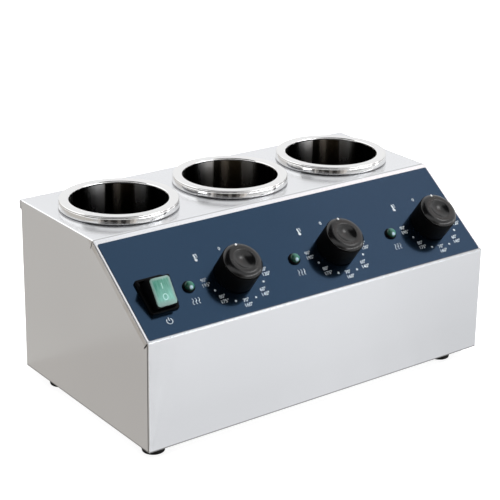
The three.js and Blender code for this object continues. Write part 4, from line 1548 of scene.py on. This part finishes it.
signs = {
    "line": 0.75 * mm,
    "power": (-169.6 * mm, 15.4 * mm),
    "powerRadius": 2.9 * mm,
    "powerSweep": (125, 290),  # start and turn, in degrees
    "powerBarShares": (0.1, 1.35),
    "heat": (0, 27.6 * mm),
    "waveRadius": 1.5 * mm,
    "waveShare": 0.55,
    "wavePitch": 3.3 * mm,
    "thermometer": (-28.8 * mm, 70 * mm),
    "stem": (1.5 * mm, 5.6 * mm, 0.7 * mm),  # width, length and corner
    "stemUp": 1.2 * mm,
    "bulb": 1.6 * mm,
    "bulbDown": 2.2 * mm,
    "ticks": (0.4 * mm, 1.9 * mm, 3.4 * mm),
    "tickReach": (1.5 * mm, 3.2 * mm),
    "tickWidth": 0.6 * mm,
}


# Part of a ring: a small square swept about the upright axis.
def sweptMesh(radius, start, sweep):
    line = signs["line"] / 2
    bm = bmesh.new()
    corners = [(-line, -inkHalf), (line, -inkHalf), (line, inkHalf), (-line, inkHalf)]
    face = bm.faces.new([bm.verts.new((radius + x, 0, z)) for x, z in corners])
    turn = Matrix.Rotation(math.radians(start), 3, "Z")
    bmesh.ops.rotate(bm, cent=(0, 0, 0), matrix=turn, verts=bm.verts)
    return spun(bm, bm.verts[:] + bm.edges[:] + [face], math.radians(sweep), 18)


def barMesh(low, high):
    return blockMesh((*low, -inkHalf), (*high, inkHalf))


def powerSign():
    line = signs["line"] / 2
    radius = signs["powerRadius"]
    low, high = [radius * share for share in signs["powerBarShares"]]
    bar = barMesh((-line, low), (line, high))
    return printed(joinMeshes(sweptMesh(radius, *signs["powerSweep"]), bar), *signs["power"])


def heatSign(x):
    waves = []
    radius = signs["waveRadius"]
    narrow = Matrix.Scale(signs["waveShare"], 4, (1, 0, 0))
    for step in (-1, 0, 1):
        place = Matrix.Translation((step * signs["wavePitch"], 0, 0)) @ narrow
        for start, rise in ((-90, radius), (90, -radius)):
            wave = sweptMesh(radius, start, 180)
            waves.append(moved(wave, place @ Matrix.Translation((0, rise, 0))))
    across, along = signs["heat"]
    return printed(joinMeshes(bmesh.new(), *waves), x + across, along)


def thermometerSign(x):
    width, length, corner = signs["stem"]
    stem = plateMesh(width, length, -inkHalf, inkHalf, corner)
    moved(stem, Matrix.Translation((0, signs["stemUp"], 0)))
    bulb = discMesh(signs["bulb"], 2 * inkHalf, 24)
    moved(bulb, Matrix.Translation((0, -signs["bulbDown"], 0)))
    near, far = signs["tickReach"]
    ticks = [barMesh((near, y), (far, y + signs["tickWidth"])) for y in signs["ticks"]]
    across, along = signs["thermometer"]
    return printed(joinMeshes(stem, bulb, *ticks), x + across, along)


addPiece("powerSign", powerSign(), inkWhite, "housing")
for zone, x in zip(zones, controls["knobs"]):
    lampX = x + controls["lampOffset"]
    addPiece(f"dialPrint_{zone}", dialPrint(x), inkWhite, "housing")
    addPiece(f"heatSign_{zone}", heatSign(lampX), inkWhite, "housing")
    addPiece(f"thermometerSign_{zone}", thermometerSign(x), inkWhite, "housing")

print("feet and fasteners")

foot = {
    "radius": 11 * mm,
    "high": 8.7 * mm,
    "round": 0.9 * mm,
    "taper": 0.5 * mm,
    "waistShare": 0.55,
    "waistRound": 0.5 * mm,
    "topTaper": 0.3 * mm,
    "topRound": 0.4 * mm,
    "recess": 5 * mm,
    "recessHigh": 4 * mm,
    "recessRounds": (0.3 * mm, 0.4 * mm),
    "boss": 4.2 * mm,
    "bossHigh": 10 * mm,
    "bore": 2.4 * mm,
}


def footMesh():
    high = foot["high"]
    return turnedMesh(
        [
            (foot["bore"], foot["bossHigh"], 0),
            (foot["bore"], foot["recessHigh"], 0),
            (foot["recess"], foot["recessHigh"], foot["recessRounds"][0]),
            (foot["recess"], 0, foot["recessRounds"][1]),
            (foot["radius"] - foot["taper"], 0, foot["round"]),
            (foot["radius"], high * foot["waistShare"], foot["waistRound"]),
            (foot["radius"] - foot["topTaper"], high, foot["topRound"]),
            (foot["boss"], high, 0),
            (foot["boss"], foot["bossHigh"], 0),
        ],
        steps=64,
        closed=True,
    )


for number in cornerNumbers:
    low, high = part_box(f"foot_{number}")
    rubber = moved(footMesh(), Matrix.Translation(((low.x + high.x) / 2, (low.y + high.y) / 2, 0)))
    nodes = [f"foot_{number}"]
    addPiece(f"rubberFoot_{number}", rubber, rubberBlack, "housing", nodes, 40)

print("plain nodes")

plainNodes = {
    "rear_panel": plateSteel,
    "base_plate": plateSteel,
    "terminal_block": creamPlastic,
    "earth_stud": brassMetal,
    "switch_lead": sleeveWhite,
    "gland_body": glandBlack,
    "gland_nut": glandBlack,
}
zonedNodes = {
    "heater_band": bandSteel,
    "band_screw": zincSteel,
    "thermostat": zincSteel,
    "sensor_line": copperMetal,
    "heater_lead": sleeveWhite,
    "bushing_nut": brassMetal,
    "spindle": zincSteel,
}
for stem, material in zonedNodes.items():
    for zone in zones:
        plainNodes[f"{stem}_{zone}"] = material
for number in cornerNumbers:
    plainNodes[f"foot_screw_{number}"] = zincSteel
    plainNodes[f"rear_screw_{number}"] = zincSteel
for name, material in plainNodes.items():
    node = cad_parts[name]
    node.data.materials.clear()
    node.data.materials.append(material)

bpy.context.scene.view_settings.view_transform = "Standard"
